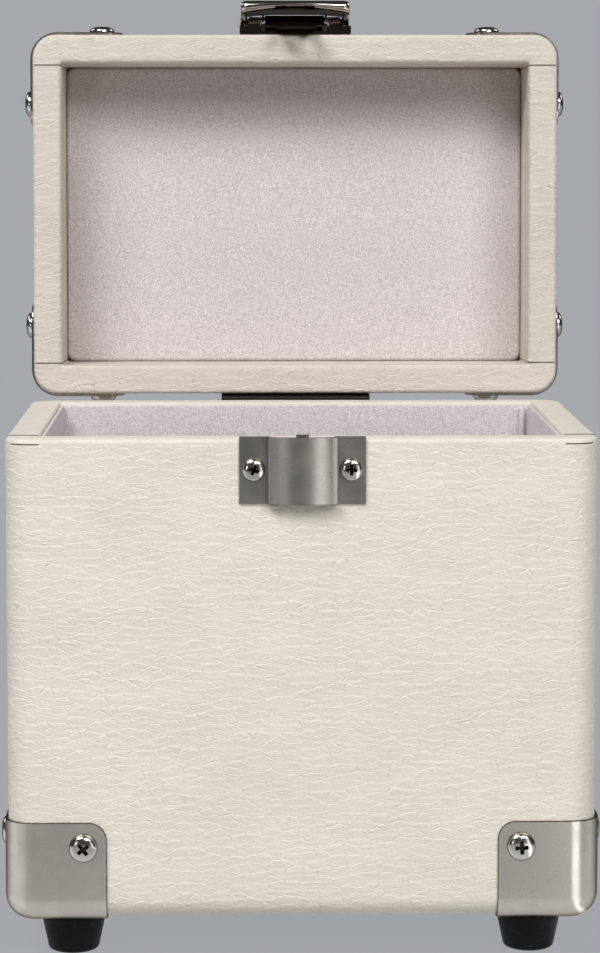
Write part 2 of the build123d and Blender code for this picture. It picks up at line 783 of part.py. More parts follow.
for side_name, side in (("left", -1), ("right", 1)):
    middle = side * bracket_spacing / 2
    with BuildPart() as bracket:
        with BuildSketch(lid_top):
            with Locations((middle, 0)):
                RectangleRounded(bracket_plate_width, bracket_plate_length, bracket_plate_radius)
        extrude(amount=bracket_sheet)
        with BuildSketch(across(lid_top, middle)):
            with Locations((0, handle_stand)):
                Circle(bracket_saddle_radius)
            with BuildLine():
                Polyline((-bracket_saddle_foot, 0), (bracket_saddle_foot, 0),
                         (bracket_saddle_radius, handle_stand), (-bracket_saddle_radius, handle_stand),
                         close=True)
            make_face()
            with Locations((0, handle_stand)):
                Circle(rod_radius + rod_clearance, mode=Mode.SUBTRACT)
        extrude(amount=bracket_saddle_width / 2, both=True)
        drill(bracket_seats, small_hole_radius, small_screw_length)
    save(bracket, f"handle_bracket_{side_name}")
save_screws("handle_bracket_screws", bracket_seats, small_screw_head_radius,
            small_screw_head_height, small_screw_radius, small_screw_length)

rod_end = (bracket_spacing + bracket_saddle_width) / 2 + rod_end_overhang
arm_x = arm_spacing / 2
with BuildPart() as handle_bail:
    with BuildLine(handle_frame):
        FilletPolyline((rod_end, 0), (arm_x, 0), (arm_x, arm_length), (-arm_x, arm_length),
                       (-arm_x, 0), (-rod_end, 0), radius=rod_bend_radius)
    rod_end_place = Plane(origin=(rod_end, 0, 0), x_dir=(0, 1, 0), z_dir=(-1, 0, 0))
    with BuildSketch(placed(handle_frame, rod_end_place)):
        Circle(rod_radius)
    sweep()
save(handle_bail, "handle_bail")


def bore_grip():
    """The rod's bore through a piece on the handle's rod."""
    place = Plane(origin=(0, arm_length, 0), x_dir=(0, 1, 0), z_dir=(1, 0, 0))
    with BuildSketch(placed(handle_frame, place)) as bore:
        Circle(rod_radius + rod_clearance)
    extrude(bore.sketch, amount=arm_spacing / 2, both=True, mode=Mode.SUBTRACT)


with BuildPart() as handle_grip:
    for step in (-1.0, -0.6, 0.0, 0.6, 1.0):
        share = 1 - (1 - grip_end_share) * step ** 2
        place = Plane(origin=(step * grip_length / 2, arm_length, 0), x_dir=(0, 1, 0), z_dir=(1, 0, 0))
        with BuildSketch(placed(handle_frame, place)):
            Ellipse(grip_depth / 2 * share, grip_thickness / 2 * share)
    loft()
    bore_grip()
save(handle_grip, "handle_grip")

with BuildPart() as handle_ferrules:
    for side in (-1, 1):
        start = side * (grip_length / 2 + ferrule_gap)
        place = Plane(origin=(start, arm_length, 0), x_dir=(0, 1, 0), z_dir=(side, 0, 0))
        with BuildSketch(placed(handle_frame, place)):
            Ellipse(grip_depth / 2 * grip_end_share, grip_thickness / 2 * grip_end_share)
        extrude(amount=ferrule_length)
    bore_grip()
save(handle_ferrules, "handle_ferrules")
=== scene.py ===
"""A carrying case for seven-inch records: leatherette, felt, plated fittings and rubber feet."""
import json
from math import cos, pi, radians, sin, sqrt
from typing import NamedTuple

import bmesh
import bpy
from bpy.props import FloatProperty, FloatVectorProperty, PointerProperty
from mathutils import Matrix, Vector, noise


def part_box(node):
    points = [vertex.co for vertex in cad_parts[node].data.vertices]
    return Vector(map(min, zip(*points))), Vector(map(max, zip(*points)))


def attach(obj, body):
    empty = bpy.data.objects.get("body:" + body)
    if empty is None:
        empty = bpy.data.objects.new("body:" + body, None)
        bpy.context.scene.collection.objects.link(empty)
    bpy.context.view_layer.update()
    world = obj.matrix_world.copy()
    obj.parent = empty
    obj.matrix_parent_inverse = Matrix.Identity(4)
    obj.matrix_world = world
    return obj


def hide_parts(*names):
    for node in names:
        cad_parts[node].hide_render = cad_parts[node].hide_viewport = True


bl_info = {
    "name": "Record carrying case",
    "version": (1, 0, 0),
    "blender": (4, 5, 0),
    "location": "3D View > Sidebar > Record Case",
    "description": "Covers, lines and finishes a record carrying case around its frame",
    "category": "Add Mesh",
}

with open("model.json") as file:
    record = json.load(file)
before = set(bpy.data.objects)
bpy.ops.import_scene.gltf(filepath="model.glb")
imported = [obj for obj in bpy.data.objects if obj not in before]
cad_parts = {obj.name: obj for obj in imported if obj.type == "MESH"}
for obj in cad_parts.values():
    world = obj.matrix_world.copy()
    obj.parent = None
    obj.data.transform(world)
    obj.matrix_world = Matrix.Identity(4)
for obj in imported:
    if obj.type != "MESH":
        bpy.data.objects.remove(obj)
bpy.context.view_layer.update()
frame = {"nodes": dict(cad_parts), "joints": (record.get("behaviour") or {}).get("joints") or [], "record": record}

# ---- The case's own measures, read from its frame ---------------------------------------------

MM = 0.001
JOINTS = {joint["name"]: joint for joint in frame["joints"]}
HINGE = Vector(JOINTS["lid_hinge"]["pos_m"])
OPEN_ANGLE = radians(JOINTS["lid_hinge"]["range_deg"][1])
OPENING = (Matrix.Translation(HINGE) @ Matrix.Rotation(-OPEN_ANGLE, 4, "X")
           @ Matrix.Translation(-HINGE))
BODY_LOW, BODY_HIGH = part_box("body_cover")
CASE_MIDDLE = (BODY_LOW.y + BODY_HIGH.y) / 2
HALF_WIDTH = BODY_HIGH.x
HALF_DEPTH = (BODY_HIGH.y - BODY_LOW.y) / 2
RIM = BODY_HIGH.z
RIM_GAP = 2 * (HINGE.z - RIM)

SIDE_RADIUS = 10.0 * MM
END_RADIUS = 8.0 * MM
COVER = 0.9 * MM
COVER_FLOOR = 1.0 * MM
WALL = 12.1 * MM
TURN_IN = 2.8 * MM
LINING_OUTSIDE = 10.6 * MM
LINING = 1.4 * MM
SMALLEST_RADIUS = 0.8 * MM
END_INSET = 24.0 * MM
FLOOR_INSET = 18.0 * MM
SPACING = 9.0 * MM

PIVOT_RISE = 20.0 * MM
PIVOT_STAND = 5.8 * MM
LEVER_HALF = 22.2 * MM
LEVER_FOOT = 3.0 * MM
LEVER_SHOULDER = 8.0 * MM
LEVER_ARCH = 2.0 * MM
LIP_FRONT = -2.0 * MM
LIP_BACK = 3.8 * MM
LIP_TOP = 13.4 * MM
HEAD_SHARE = 0.53
STOP_HALF = 14.0 * MM
STOP_LOW = 27.0 * MM
STOP_HIGH = 27.9 * MM
STOP_NEAR = 0.7 * MM
STOP_FAR = 6.0 * MM
STOP_EDGE = 0.3 * MM


class Half(NamedTuple):
    """One half of the case. Its own coordinates are x, y and the depth in from its mouth."""

    name: str
    body: str
    height: float
    place: Matrix
    turn_in: float
    inner_radius: float


LID_HEIGHT = 47.0 * MM
BODY = Half("body", "case_body", RIM - BODY_LOW.z,
            Matrix.Translation((0, CASE_MIDDLE, RIM)) @ Matrix.Diagonal((1, 1, -1, 1)),
            TURN_IN, 1.0 * MM)
LID = Half("lid", "lid", LID_HEIGHT, OPENING @ Matrix.Translation((0, CASE_MIDDLE, RIM + RIM_GAP)),
           LID_HEIGHT - LINING_OUTSIDE - 0.4 * MM, 1.8 * MM)


def on_lid_front(x, rise, stand):
    """A place on the open lid's front, from its middle, its height when shut and its stand-off."""
    return OPENING @ Vector((x, CASE_MIDDLE - HALF_DEPTH - stand, RIM + rise))


def srgb(red, green, blue):
    """Linear colour of three screen values from 0 to 255."""
    return tuple(value / 255 / 12.92 if value / 255 <= 0.04045
                 else ((value / 255 + 0.055) / 1.055) ** 2.4 for value in (red, green, blue))


# ---- Settings ---------------------------------------------------------------------------------

def length_setting(name, description, value):
    """A length that can be set, given in millimetres."""
    return FloatProperty(name=name, description=description, default=value * MM, unit="LENGTH")


def colour_setting(name, description, *levels):
    """A colour that can be set, given as three screen values."""
    return FloatVectorProperty(
        name=name, description=description, subtype="COLOR", default=srgb(*levels))


class CaseShape(bpy.types.PropertyGroup):
    """Sizes of what the frame leaves open."""

    rim_radius: length_setting("Rim radius", "Rounding of the covering over the rim's outer edge", 1.6)
    lid_draft: length_setting("Lid draft", "How far the lid's covering draws in at its mouth", 0.5)
    seam_inset: length_setting("Seam inset", "From the side to the seam across each rim corner", 12.6)
    seam_width: length_setting("Seam width", "Width of the slit where two flaps of covering meet", 0.45)
    seam_depth: length_setting("Seam depth", "Depth of that slit", 0.55)
    flap_rise: length_setting("Flap rise", "How far the folded flap stands up beside its seam", 0.22)
    flap_run: length_setting("Flap run", "Over what length that flap comes down again", 14.0)
    slack: length_setting("Slack", "How unevenly the covering lies", 0.1)
    lining_radius: length_setting("Lining radius", "Rounding of the felt at the case's bottom", 2.2)
    lining_edge: length_setting("Lining edge", "From the rim down to the felt's rolled edge", 1.0)
    lining_face: length_setting("Lining face", "From the case's side to the face of its felt", 13.5)
    panel_radius: length_setting("Panel radius", "Corners of the felt panel in the lid", 4.0)
    panel_thickness: length_setting("Panel thickness", "Thickness of the felt panel in the lid", 3.6)
    metal_edge: length_setting("Metal edge", "Rounding of the pressed metal's edges", 0.22)
    stitch_length: length_setting("Stitch length", "Length of one stitch on the grip", 2.6)


class CaseFinish(bpy.types.PropertyGroup):
    """Colours and grain."""

    leatherette: colour_setting("Leatherette", "Colour of the covering", 233, 226, 214)
    # Painted shade: the lid's covering is the body's colour painted a little darker, standing in for the lid being
    # less lit.
    lid: colour_setting("Lid", "Colour of the lid's covering, a little more worn", 223, 214, 203)
    # Painted shade: the covering's creases are darkened towards this colour; the grip's thread takes it as its own
    # colour.
    crease_shade_and_thread: colour_setting("Crease", "Colour in the covering's creases", 196, 186, 170)
    # Painted shade in the seams' slits and along the flaps' cut edges.
    cut: colour_setting("Cut edge", "Colour of the covering's cut edges in its seams", 88, 78, 68)
    cell_width: length_setting("Grain width", "Width of one scale of the covering's grain", 6.2)
    cell_height: length_setting("Grain height", "Height of one scale of the covering's grain", 3.3)
    felt: colour_setting("Felt", "Colour of the lining", 222, 213, 214)
    plate: colour_setting("Plate", "Colour of the satin nickel plate", 192, 185, 174)
    chrome: colour_setting("Chrome", "Colour of the polished chrome", 198, 191, 179)
    rubber: colour_setting("Rubber", "Colour of the feet", 12, 12, 11)


class CaseStage(bpy.types.PropertyGroup):
    """Camera, lamps and backdrop."""

    lens: FloatProperty(
        name="Lens", description="Focal length on a 36 mm sensor", default=110.53, unit="CAMERA")
    camera: FloatVectorProperty(
        name="Camera", description="Where the camera stands", subtype="TRANSLATION",
        default=(-0.02008, CASE_MIDDLE - 1.12416, 0.3091))
    pitch: FloatProperty(
        name="Pitch", description="How far the camera looks down", subtype="ANGLE",
        default=radians(5.056))
    turn: FloatProperty(
        name="Turn", description="How far the camera looks to the left", subtype="ANGLE",
        default=radians(-1.045))
    rise: FloatProperty(name="Rise", description="Vertical shift of the lens", default=-0.105)
    backdrop: colour_setting("Backdrop", "Colour of the floor and backdrop", 164, 167, 172)
    paper: colour_setting("Paper", "Colour that the floor lights the case with", 190, 190, 188)


# ---- Node wiring ------------------------------------------------------------------------------

class Wiring:
    """Adds nodes to a tree and feeds their sockets with values or with other nodes' outputs."""

    def __init__(self, tree):
        self.tree = tree

    def feed(self, socket, value):
        if isinstance(value, bpy.types.NodeSocket):
            self.tree.links.new(value, socket)
        else:
            socket.default_value = value[:] if hasattr(value, "__len__") else value

    def add(self, kind, feeds=None, **settings):
        node = self.tree.nodes.new(kind)
        for key, value in settings.items():
            setattr(node, key, value)
        for key, value in (feeds or {}).items():
            self.feed(node.inputs[key], value)
        return node

    def math(self, operation, first, second=0.0, clamp=False):
        node = self.add("ShaderNodeMath", {0: first, 1: second}, operation=operation, use_clamp=clamp)
        return node.outputs[0]

    def plus(self, first, second):
        return self.math("ADD", first, second)

    def minus(self, first, second):
        return self.math("SUBTRACT", first, second)

    def times(self, first, second):
        return self.math("MULTIPLY", first, second)

    def vector(self, operation, first, second=(0, 0, 0)):
        return self.add("ShaderNodeVectorMath", {0: first, 1: second}, operation=operation).outputs[0]

    def scale(self, vector, factor):
        node = self.add("ShaderNodeVectorMath", {0: vector, "Scale": factor}, operation="SCALE")
        return node.outputs[0]

    def axis(self, vector, name):
        return self.add("ShaderNodeSeparateXYZ", {0: vector}).outputs[name]

    def attribute(self, name):
        return self.add("ShaderNodeAttribute", attribute_name=name).outputs["Fac"]

    def step(self, value, low, high, start=0.0, end=1.0):
        """A value that runs smoothly from start at low to end at high."""
        feeds = {"Value": value, "From Min": low, "From Max": high, "To Min": start, "To Max": end}
        return self.add("ShaderNodeMapRange", feeds, interpolation_type="SMOOTHSTEP").outputs[0]

    def noise(self, vector, scale, detail=2.0, roughness=0.5, output="Fac"):
        feeds = {"Vector": vector, "Scale": scale, "Detail": detail, "Roughness": roughness}
        return self.add("ShaderNodeTexNoise", feeds).outputs[output]

    def cells(self, vector, scale, feature, output):
        feeds = {"Vector": vector, "Scale": scale}
        return self.add("ShaderNodeTexVoronoi", feeds, feature=feature).outputs[output]

    def blend(self, share, first, second):
        feeds = {"Factor": share, "A": opaque(first), "B": opaque(second)}
        return self.add("ShaderNodeMix", feeds, data_type="RGBA").outputs["Result"]


def opaque(colour):
    """A plain colour with its alpha. A colour that comes from a node stays as it is."""
    return colour if isinstance(colour, bpy.types.NodeSocket) else (*colour[:3], 1.0)


def effect(name, inputs, outputs):
    """An empty shader group with its sockets: (group, wiring, input sockets, output sockets)."""
    group = bpy.data.node_groups.new(name, "ShaderNodeTree")
    for label, kind, default in inputs:
        socket = group.interface.new_socket(label, in_out="INPUT", socket_type=f"NodeSocket{kind}")
        socket.default_value = default
    for label in outputs:
        group.interface.new_socket(label, in_out="OUTPUT", socket_type="NodeSocketFloat")
    wiring = Wiring(group)
    given = wiring.add("NodeGroupInput")
    result = wiring.add("NodeGroupOutput")
    return group, wiring, given.outputs, result.inputs


def grain_effect():
    """Pressed leather grain: flat scales lapping like shingles, with fine pebbles on them."""
    group, w, given, result = effect(
        "Leather grain", [("Vector", "Vector", (0, 0, 0)), ("Cell Size", "Vector", (6 * MM,) * 3)],
        ["Height", "Crease", "Tone"])
    flat = w.vector("DIVIDE", given["Vector"], given["Cell Size"])
    middle, lip_slope, line_width = 0.45, 7.0, 0.05
    scales, edges = 0.0, 0.0
    for size, shift, tall in ((1.05, (3.1, 7.7, 1.3), 2.2), (1.2, (8.3, 2.9, 6.1), 0.7)):
        moved = w.vector("ADD", flat, shift)
        drift = w.vector("SUBTRACT", w.noise(moved, 1.1, 2.0, 0.55, "Color"), (0.5, 0.5, 0.5))
        bent = w.vector("ADD", moved, w.scale(drift, 0.5))
        above = w.axis(w.vector("SUBTRACT", bent, w.cells(bent, size, "F1", "Position")), "Z")
        border = w.cells(bent, size, "DISTANCE_TO_EDGE", "Distance")
        rise = w.math("ADD", w.times(above, size), middle, clamp=True)
        rise = w.math("MINIMUM", rise, w.times(border, lip_slope))
        deep = w.step(w.noise(moved, 0.5), 0.34, 0.6, 0.5, 1.0)
        scales = w.plus(w.times(rise, w.times(deep, tall)), scales)
        edges = w.math("MAXIMUM", w.times(w.step(border, 0.0, line_width, 1.0, 0.0), deep), edges)
    pebble_height, crease_depth = 2.0, 0.1
    pebbles = w.noise(w.vector("MULTIPLY", flat, (1.0, 1.0, 0.6)), 11.0, 2.0, 0.75)
    high = w.plus(scales, w.times(pebbles, pebble_height))
    w.feed(result["Height"], w.minus(high, w.times(edges, crease_depth)))
    w.feed(result["Crease"], edges)
    w.feed(result["Tone"], w.noise(flat, 0.12, 4.0, 0.6))
    return group


def nap_effect():
    """Felt: short fibres lying every way, thicker here and thinner there."""
    group, w, given, result = effect(
        "Felt nap", [("Vector", "Vector", (0, 0, 0)), ("Fibre Size", "Float", 0.5 * MM)],
        ["Height", "Tone", "Mottle"])
    flat = w.scale(given["Vector"], w.math("DIVIDE", 1.0, given["Fibre Size"]))
    speck = w.noise(flat, 0.9, 3.0, 0.75)
    upright, across = (w.noise(w.vector("MULTIPLY", flat, squeeze), 1.0, 2.0, 0.6)
                       for squeeze in ((0.25, 0.25, 1.6), (1.6, 0.25, 0.25)))
    height = w.plus(w.times(speck, 0.6), w.times(w.math("MAXIMUM", upright, across), 0.4))
    w.feed(result["Height"], height)
    w.feed(result["Tone"], w.step(height, 0.38, 0.66))
    w.feed(result["Mottle"], w.noise(flat, 0.2, 3.0, 0.7))
    return group


def plating_effect():
    """Plated metal: soft clouds in its shine, hair-fine streaks and pits."""
    group, w, given, result = effect(
        "Plating", [("Vector", "Vector", (0, 0, 0)), ("Streak", "Vector", (400, 400, 60)),
                    ("Pitting", "Float", 0.3)],
        ["Height", "Cloud", "Streaks", "Pits"])
    place = given["Vector"]
    streaks = w.noise(w.vector("MULTIPLY", place, given["Streak"]), 4.0, 3.0, 0.6)
    pits = w.times(w.step(w.noise(place, 1500.0, 2.0, 0.6), 0.6, 0.72), given["Pitting"])
    w.feed(result["Height"], w.minus(w.times(streaks, 0.3), pits))
    w.feed(result["Cloud"], w.noise(place, 90.0, 4.0, 0.6))
    w.feed(result["Streaks"], streaks)
    w.feed(result["Pits"], pits)
    return group


GROUPS = {}


def group_node(w, name, feeds):
    """A shader group node, its group built the first time that it is asked for."""
    makers = {"grain": grain_effect, "nap": nap_effect, "plating": plating_effect}
    if name not in GROUPS:
        GROUPS[name] = makers[name]()
    node = w.add("ShaderNodeGroup", node_tree=GROUPS[name])
    for key, value in feeds.items():
        w.feed(node.inputs[key], value)
    return node.outputs


def new_material(name, settings):
    """A material with one Principled shader: (material, wiring, shader, object coordinates)."""
    material = bpy.data.materials.new(name)
    material.use_nodes = True
    w = Wiring(material.node_tree)
    shader = material.node_tree.nodes["Principled BSDF"]
    for key, value in settings.items():
        shader.inputs[key].default_value = value
    place = w.add("ShaderNodeTexCoord").outputs["Object"]
    return material, w, shader, place


def bump(w, shader, height, distance, strength=1.0, normal=None):
    """Relief on a shader, over another relief if that one's normal is given."""
    node = w.add("ShaderNodeBump", {"Height": height, "Distance": distance, "Strength": strength})
    if normal is not None:
        w.feed(node.inputs["Normal"], normal)
    w.feed(shader.inputs["Normal"], node.outputs[0])
    return node.outputs[0]


BLUSH = srgb(233, 221, 210)
RECESS_DARK = srgb(62, 52, 44)
FOOT_DUST = srgb(120, 118, 112)
BOARD_DARK = srgb(150, 122, 86)
BOARD_LIGHT = srgb(192, 166, 126)
METAL_EDGE_TINT = srgb(120, 112, 100)
FIBRE_SIZE = 0.46 * MM
BODY_GRAIN_DEPTH = 0.13 * MM
LID_GRAIN_DEPTH = 0.16 * MM
GRIP_GRAIN_DEPTH = 0.12 * MM
GRIP_GRAIN = (4.2 * MM, 2.4 * MM, 2.4 * MM)
KEEPER_BOW = (11.0 * MM, 1.5 * MM)
EVEN_STREAKS = (200, 200, 200)


def leatherette_finish(name, finish, base, cell, depth):
    """Pressed leatherette with painted shade in its creases and its seams, very slightly blotched."""
    material, w, shader, place = new_material(name, {"Specular IOR Level": 0.3})
    grain = group_node(w, "grain", {"Vector": place, "Cell Size": cell})
    # Painted shade in the creases.
    colour = w.blend(w.times(grain["Crease"], 0.12), base, finish.crease_shade_and_thread)
    colour = w.blend(w.step(w.noise(place, 38.0, 3.0), 0.45, 0.75, 0.0, 0.2), colour, BLUSH)
    colour = w.scale(colour, w.step(grain["Tone"], 0.3, 0.7, 0.965, 1.02))
    # Painted shade in the seams, where the seam mark says.
    colour = w.blend(w.step(w.attribute("seam"), 0.25, 0.75), colour, finish.cut)
    w.feed(shader.inputs["Base Color"], colour)
    w.feed(shader.inputs["Roughness"], w.step(grain["Crease"], 0.0, 1.0, 0.5, 0.68))
    bump(w, shader, grain["Height"], depth)
    return material


def felt_finish(finish):
    """Soft grey felt with a lilac cast."""
    material, w, shader, place = new_material("lilac_felt", {
        "Roughness": 0.95, "Specular IOR Level": 0.1, "Sheen Weight": 0.35, "Sheen Roughness": 0.6})
    nap = group_node(w, "nap", {"Vector": place, "Fibre Size": FIBRE_SIZE})
    tone = w.step(nap["Tone"], 0.0, 1.0, 0.72, 1.16)
    tone = w.times(tone, w.step(nap["Mottle"], 0.3, 0.7, 0.975, 1.02))
    w.feed(shader.inputs["Base Color"], w.scale(finish.felt, tone))
    bump(w, shader, nap["Height"], 0.35 * MM, 0.9)
    return material


def plated_finish(name, colour, roughness, pitting, streak, depth, bow=None):
    """Metal under a bright or satin plate, bowed across its middle by a half width and a rise."""
    material, w, shader, place = new_material(name, {
        "Metallic": 1.0, "Specular Tint": opaque(METAL_EDGE_TINT)})
    wear = group_node(w, "plating", {"Vector": place, "Pitting": pitting, "Streak": streak})
    tone = w.minus(w.step(wear["Cloud"], 0.3, 0.7, 0.93, 1.04), w.times(wear["Pits"], 0.5))
    # Faces inside a screw's cross recess are painted dark brown.
    colour = w.blend(w.attribute("hollow"), w.scale(colour, tone), RECESS_DARK)
    w.feed(shader.inputs["Base Color"], colour)
    rough = w.step(wear["Cloud"], 0.3, 0.7, roughness * 1.15, roughness * 0.85)
    w.feed(shader.inputs["Roughness"], w.plus(rough, w.times(wear["Streaks"], roughness * 0.2)))
    normal = bump(w, shader, wear["Height"], depth, 0.5)
    if bow is not None:
        half, rise = bow
        share = w.math("ABSOLUTE", w.math("DIVIDE", w.axis(place, "X"), half))
        share = w.math("MINIMUM", share, 1.0)
        bump(w, shader, w.minus(1.0, w.times(share, share)), rise, 1.0, normal)
    return material


def rubber_finish(finish):
    """Moulded black rubber with dust in its pores."""
    material, w, shader, place = new_material("black_rubber", {"Specular IOR Level": 0.14})
    pores = w.noise(place, 1800.0, 3.0, 0.7)
    dust = w.step(w.noise(place, 160.0, 4.0, 0.7), 0.5, 0.8, 0.0, 0.12)
    w.feed(shader.inputs["Base Color"], w.blend(dust, finish.rubber, FOOT_DUST))
    w.feed(shader.inputs["Roughness"], w.step(pores, 0.3, 0.7, 0.5, 0.66))
    bump(w, shader, pores, 0.05 * MM, 0.4)
    return material


def thread_finish(finish):
    """Waxed thread, a shade darker than the leatherette."""
    material, w, shader, place = new_material("waxed_thread", {"Roughness": 0.6})
    twist = w.noise(w.vector("MULTIPLY", place, (2600, 500, 500)), 1.0)
    w.feed(shader.inputs["Base Color"], w.scale(finish.crease_shade_and_thread, w.step(twist, 0.3, 0.7, 0.85, 1.1)))
    bump(w, shader, twist, 0.05 * MM, 0.6)
    return material


def board_finish():
    """Pressed fibreboard."""
    material, w, shader, place = new_material("fibreboard", {"Roughness": 0.85})
    chips = w.noise(place, 420.0, 4.0, 0.7)
    w.feed(shader.inputs["Base Color"], w.blend(chips, BOARD_DARK, BOARD_LIGHT))
    bump(w, shader, chips, 0.2 * MM, 0.5)
    return material


def platings(finish):
    """Each metal's colour, roughness, pitting, streaks along x, y and z, their depth, and any bow."""
    return {
        "satin_plate": (finish.plate, 0.24, 0.03, (300, 300, 60), 0.01 * MM),
        "keeper_plate": (srgb(184, 179, 170), 0.3, 0.6, (500, 500, 40), 0.03 * MM, KEEPER_BOW),
        # Painted shade: the hinge's plate painted near black, for the shade between lid and body.
        "hinge_plate": (srgb(48, 44, 40), 0.3, 0.7, (60, 500, 500), 0.03 * MM),
        # Painted shade: chrome painted darker for the latch's base, hook and pivot, in the shade of its lever.
        "smoked_chrome": (srgb(122, 112, 100), 0.1, 0.1, EVEN_STREAKS, 0.004 * MM),
        "polished_chrome": (finish.chrome, 0.09, 0.1, EVEN_STREAKS, 0.004 * MM),
        "bright_screw": (srgb(196, 192, 184), 0.16, 0.15, EVEN_STREAKS, 0.01 * MM),
        # Painted shade: dark steel on the plates' cut edges, which stand in shadow.
        "cut_steel": (srgb(66, 60, 54), 0.3, 0.5, (300, 300, 300), 0.02 * MM),
    }


def leathers(finish):
    """Each leatherette's colour, the size of its grain's scales, and its depth."""
    grain = (finish.cell_width, finish.cell_width, finish.cell_height)
    return {
        "body_leatherette": (finish.leatherette, grain, BODY_GRAIN_DEPTH),
        # The lid's colour is painted shade, and the grip takes it too.
        "lid_leatherette": (finish.lid, grain, LID_GRAIN_DEPTH),
        "grip_leatherette": (finish.lid, GRIP_GRAIN, GRIP_GRAIN_DEPTH),
    }


MATERIALS = {}


def finish_of(name):
    """The material of that name, made the first time that it is asked for."""
    finish = bpy.context.scene.case_finish
    if name in MATERIALS:
        return MATERIALS[name]
    if name in platings(finish):
        made = plated_finish(name, *platings(finish)[name])
    elif name in leathers(finish):
        made = leatherette_finish(name, finish, *leathers(finish)[name])
    elif name == "fibreboard":
        made = board_finish()
    else:
        plain = {"felt": felt_finish, "rubber": rubber_finish, "thread": thread_finish}
        made = plain[name](finish)
    MATERIALS[name] = made
    return made


# ---- Mesh helpers -----------------------------------------------------------------------------

def settle(bm, name, material, sharp=35.0):
    """A mesh object from a bmesh, smooth but for its sharp edges."""
    mesh = bpy.data.meshes.new(name)
    bm.to_mesh(mesh)
    bm.free()
    mesh.polygons.foreach_set("use_smooth", [True] * len(mesh.polygons))
    mesh.set_sharp_from_angle(angle=radians(sharp))
    mesh.materials.append(material)
    piece = bpy.data.objects.new(name, mesh)
    bpy.context.scene.collection.objects.link(piece)
    return piece


def marked(piece, label, values):
    """The piece with a value for each of its points."""
    attribute = piece.data.attributes.new(label, "FLOAT", "POINT")
    attribute.data.foreach_set("value", values)
    return piece


def applied(piece):
    """The piece with its modifiers worked into its mesh."""
    bpy.context.view_layer.update()
    evaluated = piece.evaluated_get(bpy.context.evaluated_depsgraph_get())
    mesh = bpy.data.meshes.new_from_object(evaluated)
    mesh.name = piece.data.name
    piece.modifiers.clear()
    piece.data = mesh
    return piece


def fit(piece, body, slot, *nodes):
    """Fix a finished piece to its body and hide the frame nodes that it takes the place of."""
    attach(piece, body)
    if nodes:
        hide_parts(*nodes)
    return piece


class Station(NamedTuple):
    """A place on the outline of a half: its point, its outward direction and its distances.

    from_side and from_end are measured on the outside of the case, from the side that faces
    left or right and from the one that faces front or back.
    """

    x: float
    y: float
    out: Vector
    from_side: float
    from_end: float


def outline(inset, arc, along_x, along_y):
    """Stations round a half at an inset. Every inset has the same stations, in the same order."""
    radius = max(SIDE_RADIUS - inset, SMALLEST_RADIUS)
    near_x, near_y = HALF_WIDTH - inset, HALF_DEPTH - inset
    stations = []
    for corner, (sign_x, sign_y) in enumerate(((1, 1), (-1, 1), (-1, -1), (1, -1))):
        for step in range(arc + 1):
            angle = (corner + step / arc) * pi / 2
            out = Vector((cos(angle), sin(angle), 0))
            stations.append(Station(
                sign_x * (near_x - radius) + radius * out.x, sign_y * (near_y - radius) + radius * out.y,
                out, SIDE_RADIUS * (1 - abs(out.x)), SIDE_RADIUS * (1 - abs(out.y))))
        if corner % 2 == 0:
            for share in along_x:
                stations.append(Station(sign_x * (HALF_WIDTH - share), sign_y * near_y,
                                        Vector((0, sign_y, 0)), min(share, 2 * HALF_WIDTH - share), 0))
        else:
            for share in along_y:
                stations.append(Station(sign_x * near_x, sign_y * (HALF_DEPTH - share),
                                        Vector((sign_x, 0, 0)), 0, min(share, 2 * HALF_DEPTH - share)))
    return stations


def spaced(length, near):
    """Distances along a side: those near its ends, and even ones between them."""
    last = near[-1]
    count = round((length - 2 * last) / SPACING)
    middle = [last + (length - 2 * last) * step / count for step in range(1, count)]
    return near + middle + [length - place for place in reversed(near)]


def skin(loops, place=Matrix(), bm=None):
    """A bmesh through a list of loops, closed at its first and last one, or that added to a bmesh."""
    if bm is None:
        bm = bmesh.new()
    rows = [[bm.verts.new(place @ Vector(point)) for point in loop] for loop in loops]
    for lower, upper in zip(rows, rows[1:]):
        for index in range(len(lower)):
            after = (index + 1) % len(lower)
            bm.faces.new((lower[index], lower[after], upper[after], upper[index]))
    for row in (rows[0], rows[-1]):
        bm.faces.new(row)
    bmesh.ops.recalc_face_normals(bm, faces=bm.faces)
    return bm


def arc_steps(count):
    """Angles from 0 to a right angle."""
    return [step / count * pi / 2 for step in range(count + 1)]


def round_loop(centre, radius, depth, count):
    """Points of a circle at a depth."""
    angles = [2 * pi * step / count for step in range(count)]
    return [(centre[0] + radius * cos(angle), centre[1] + radius * sin(angle), depth) for angle in angles]


# ---- Covering and lining ----------------------------------------------------------------------

RIM_LEDGE = 1.4 * MM
CUT_ROWS = ((0.8 * MM, "wall"), (0.45 * MM, "edge"), (0.25 * MM, "edge"), (0.1 * MM, "wall"))


class Row(NamedTuple):
    """One line of a section: its inset and depth, which way is out there, and what part it is."""

    inset: float
    depth: float
    out_inset: float = 0.0
    out_depth: float = 0.0
    part: str = "hidden"


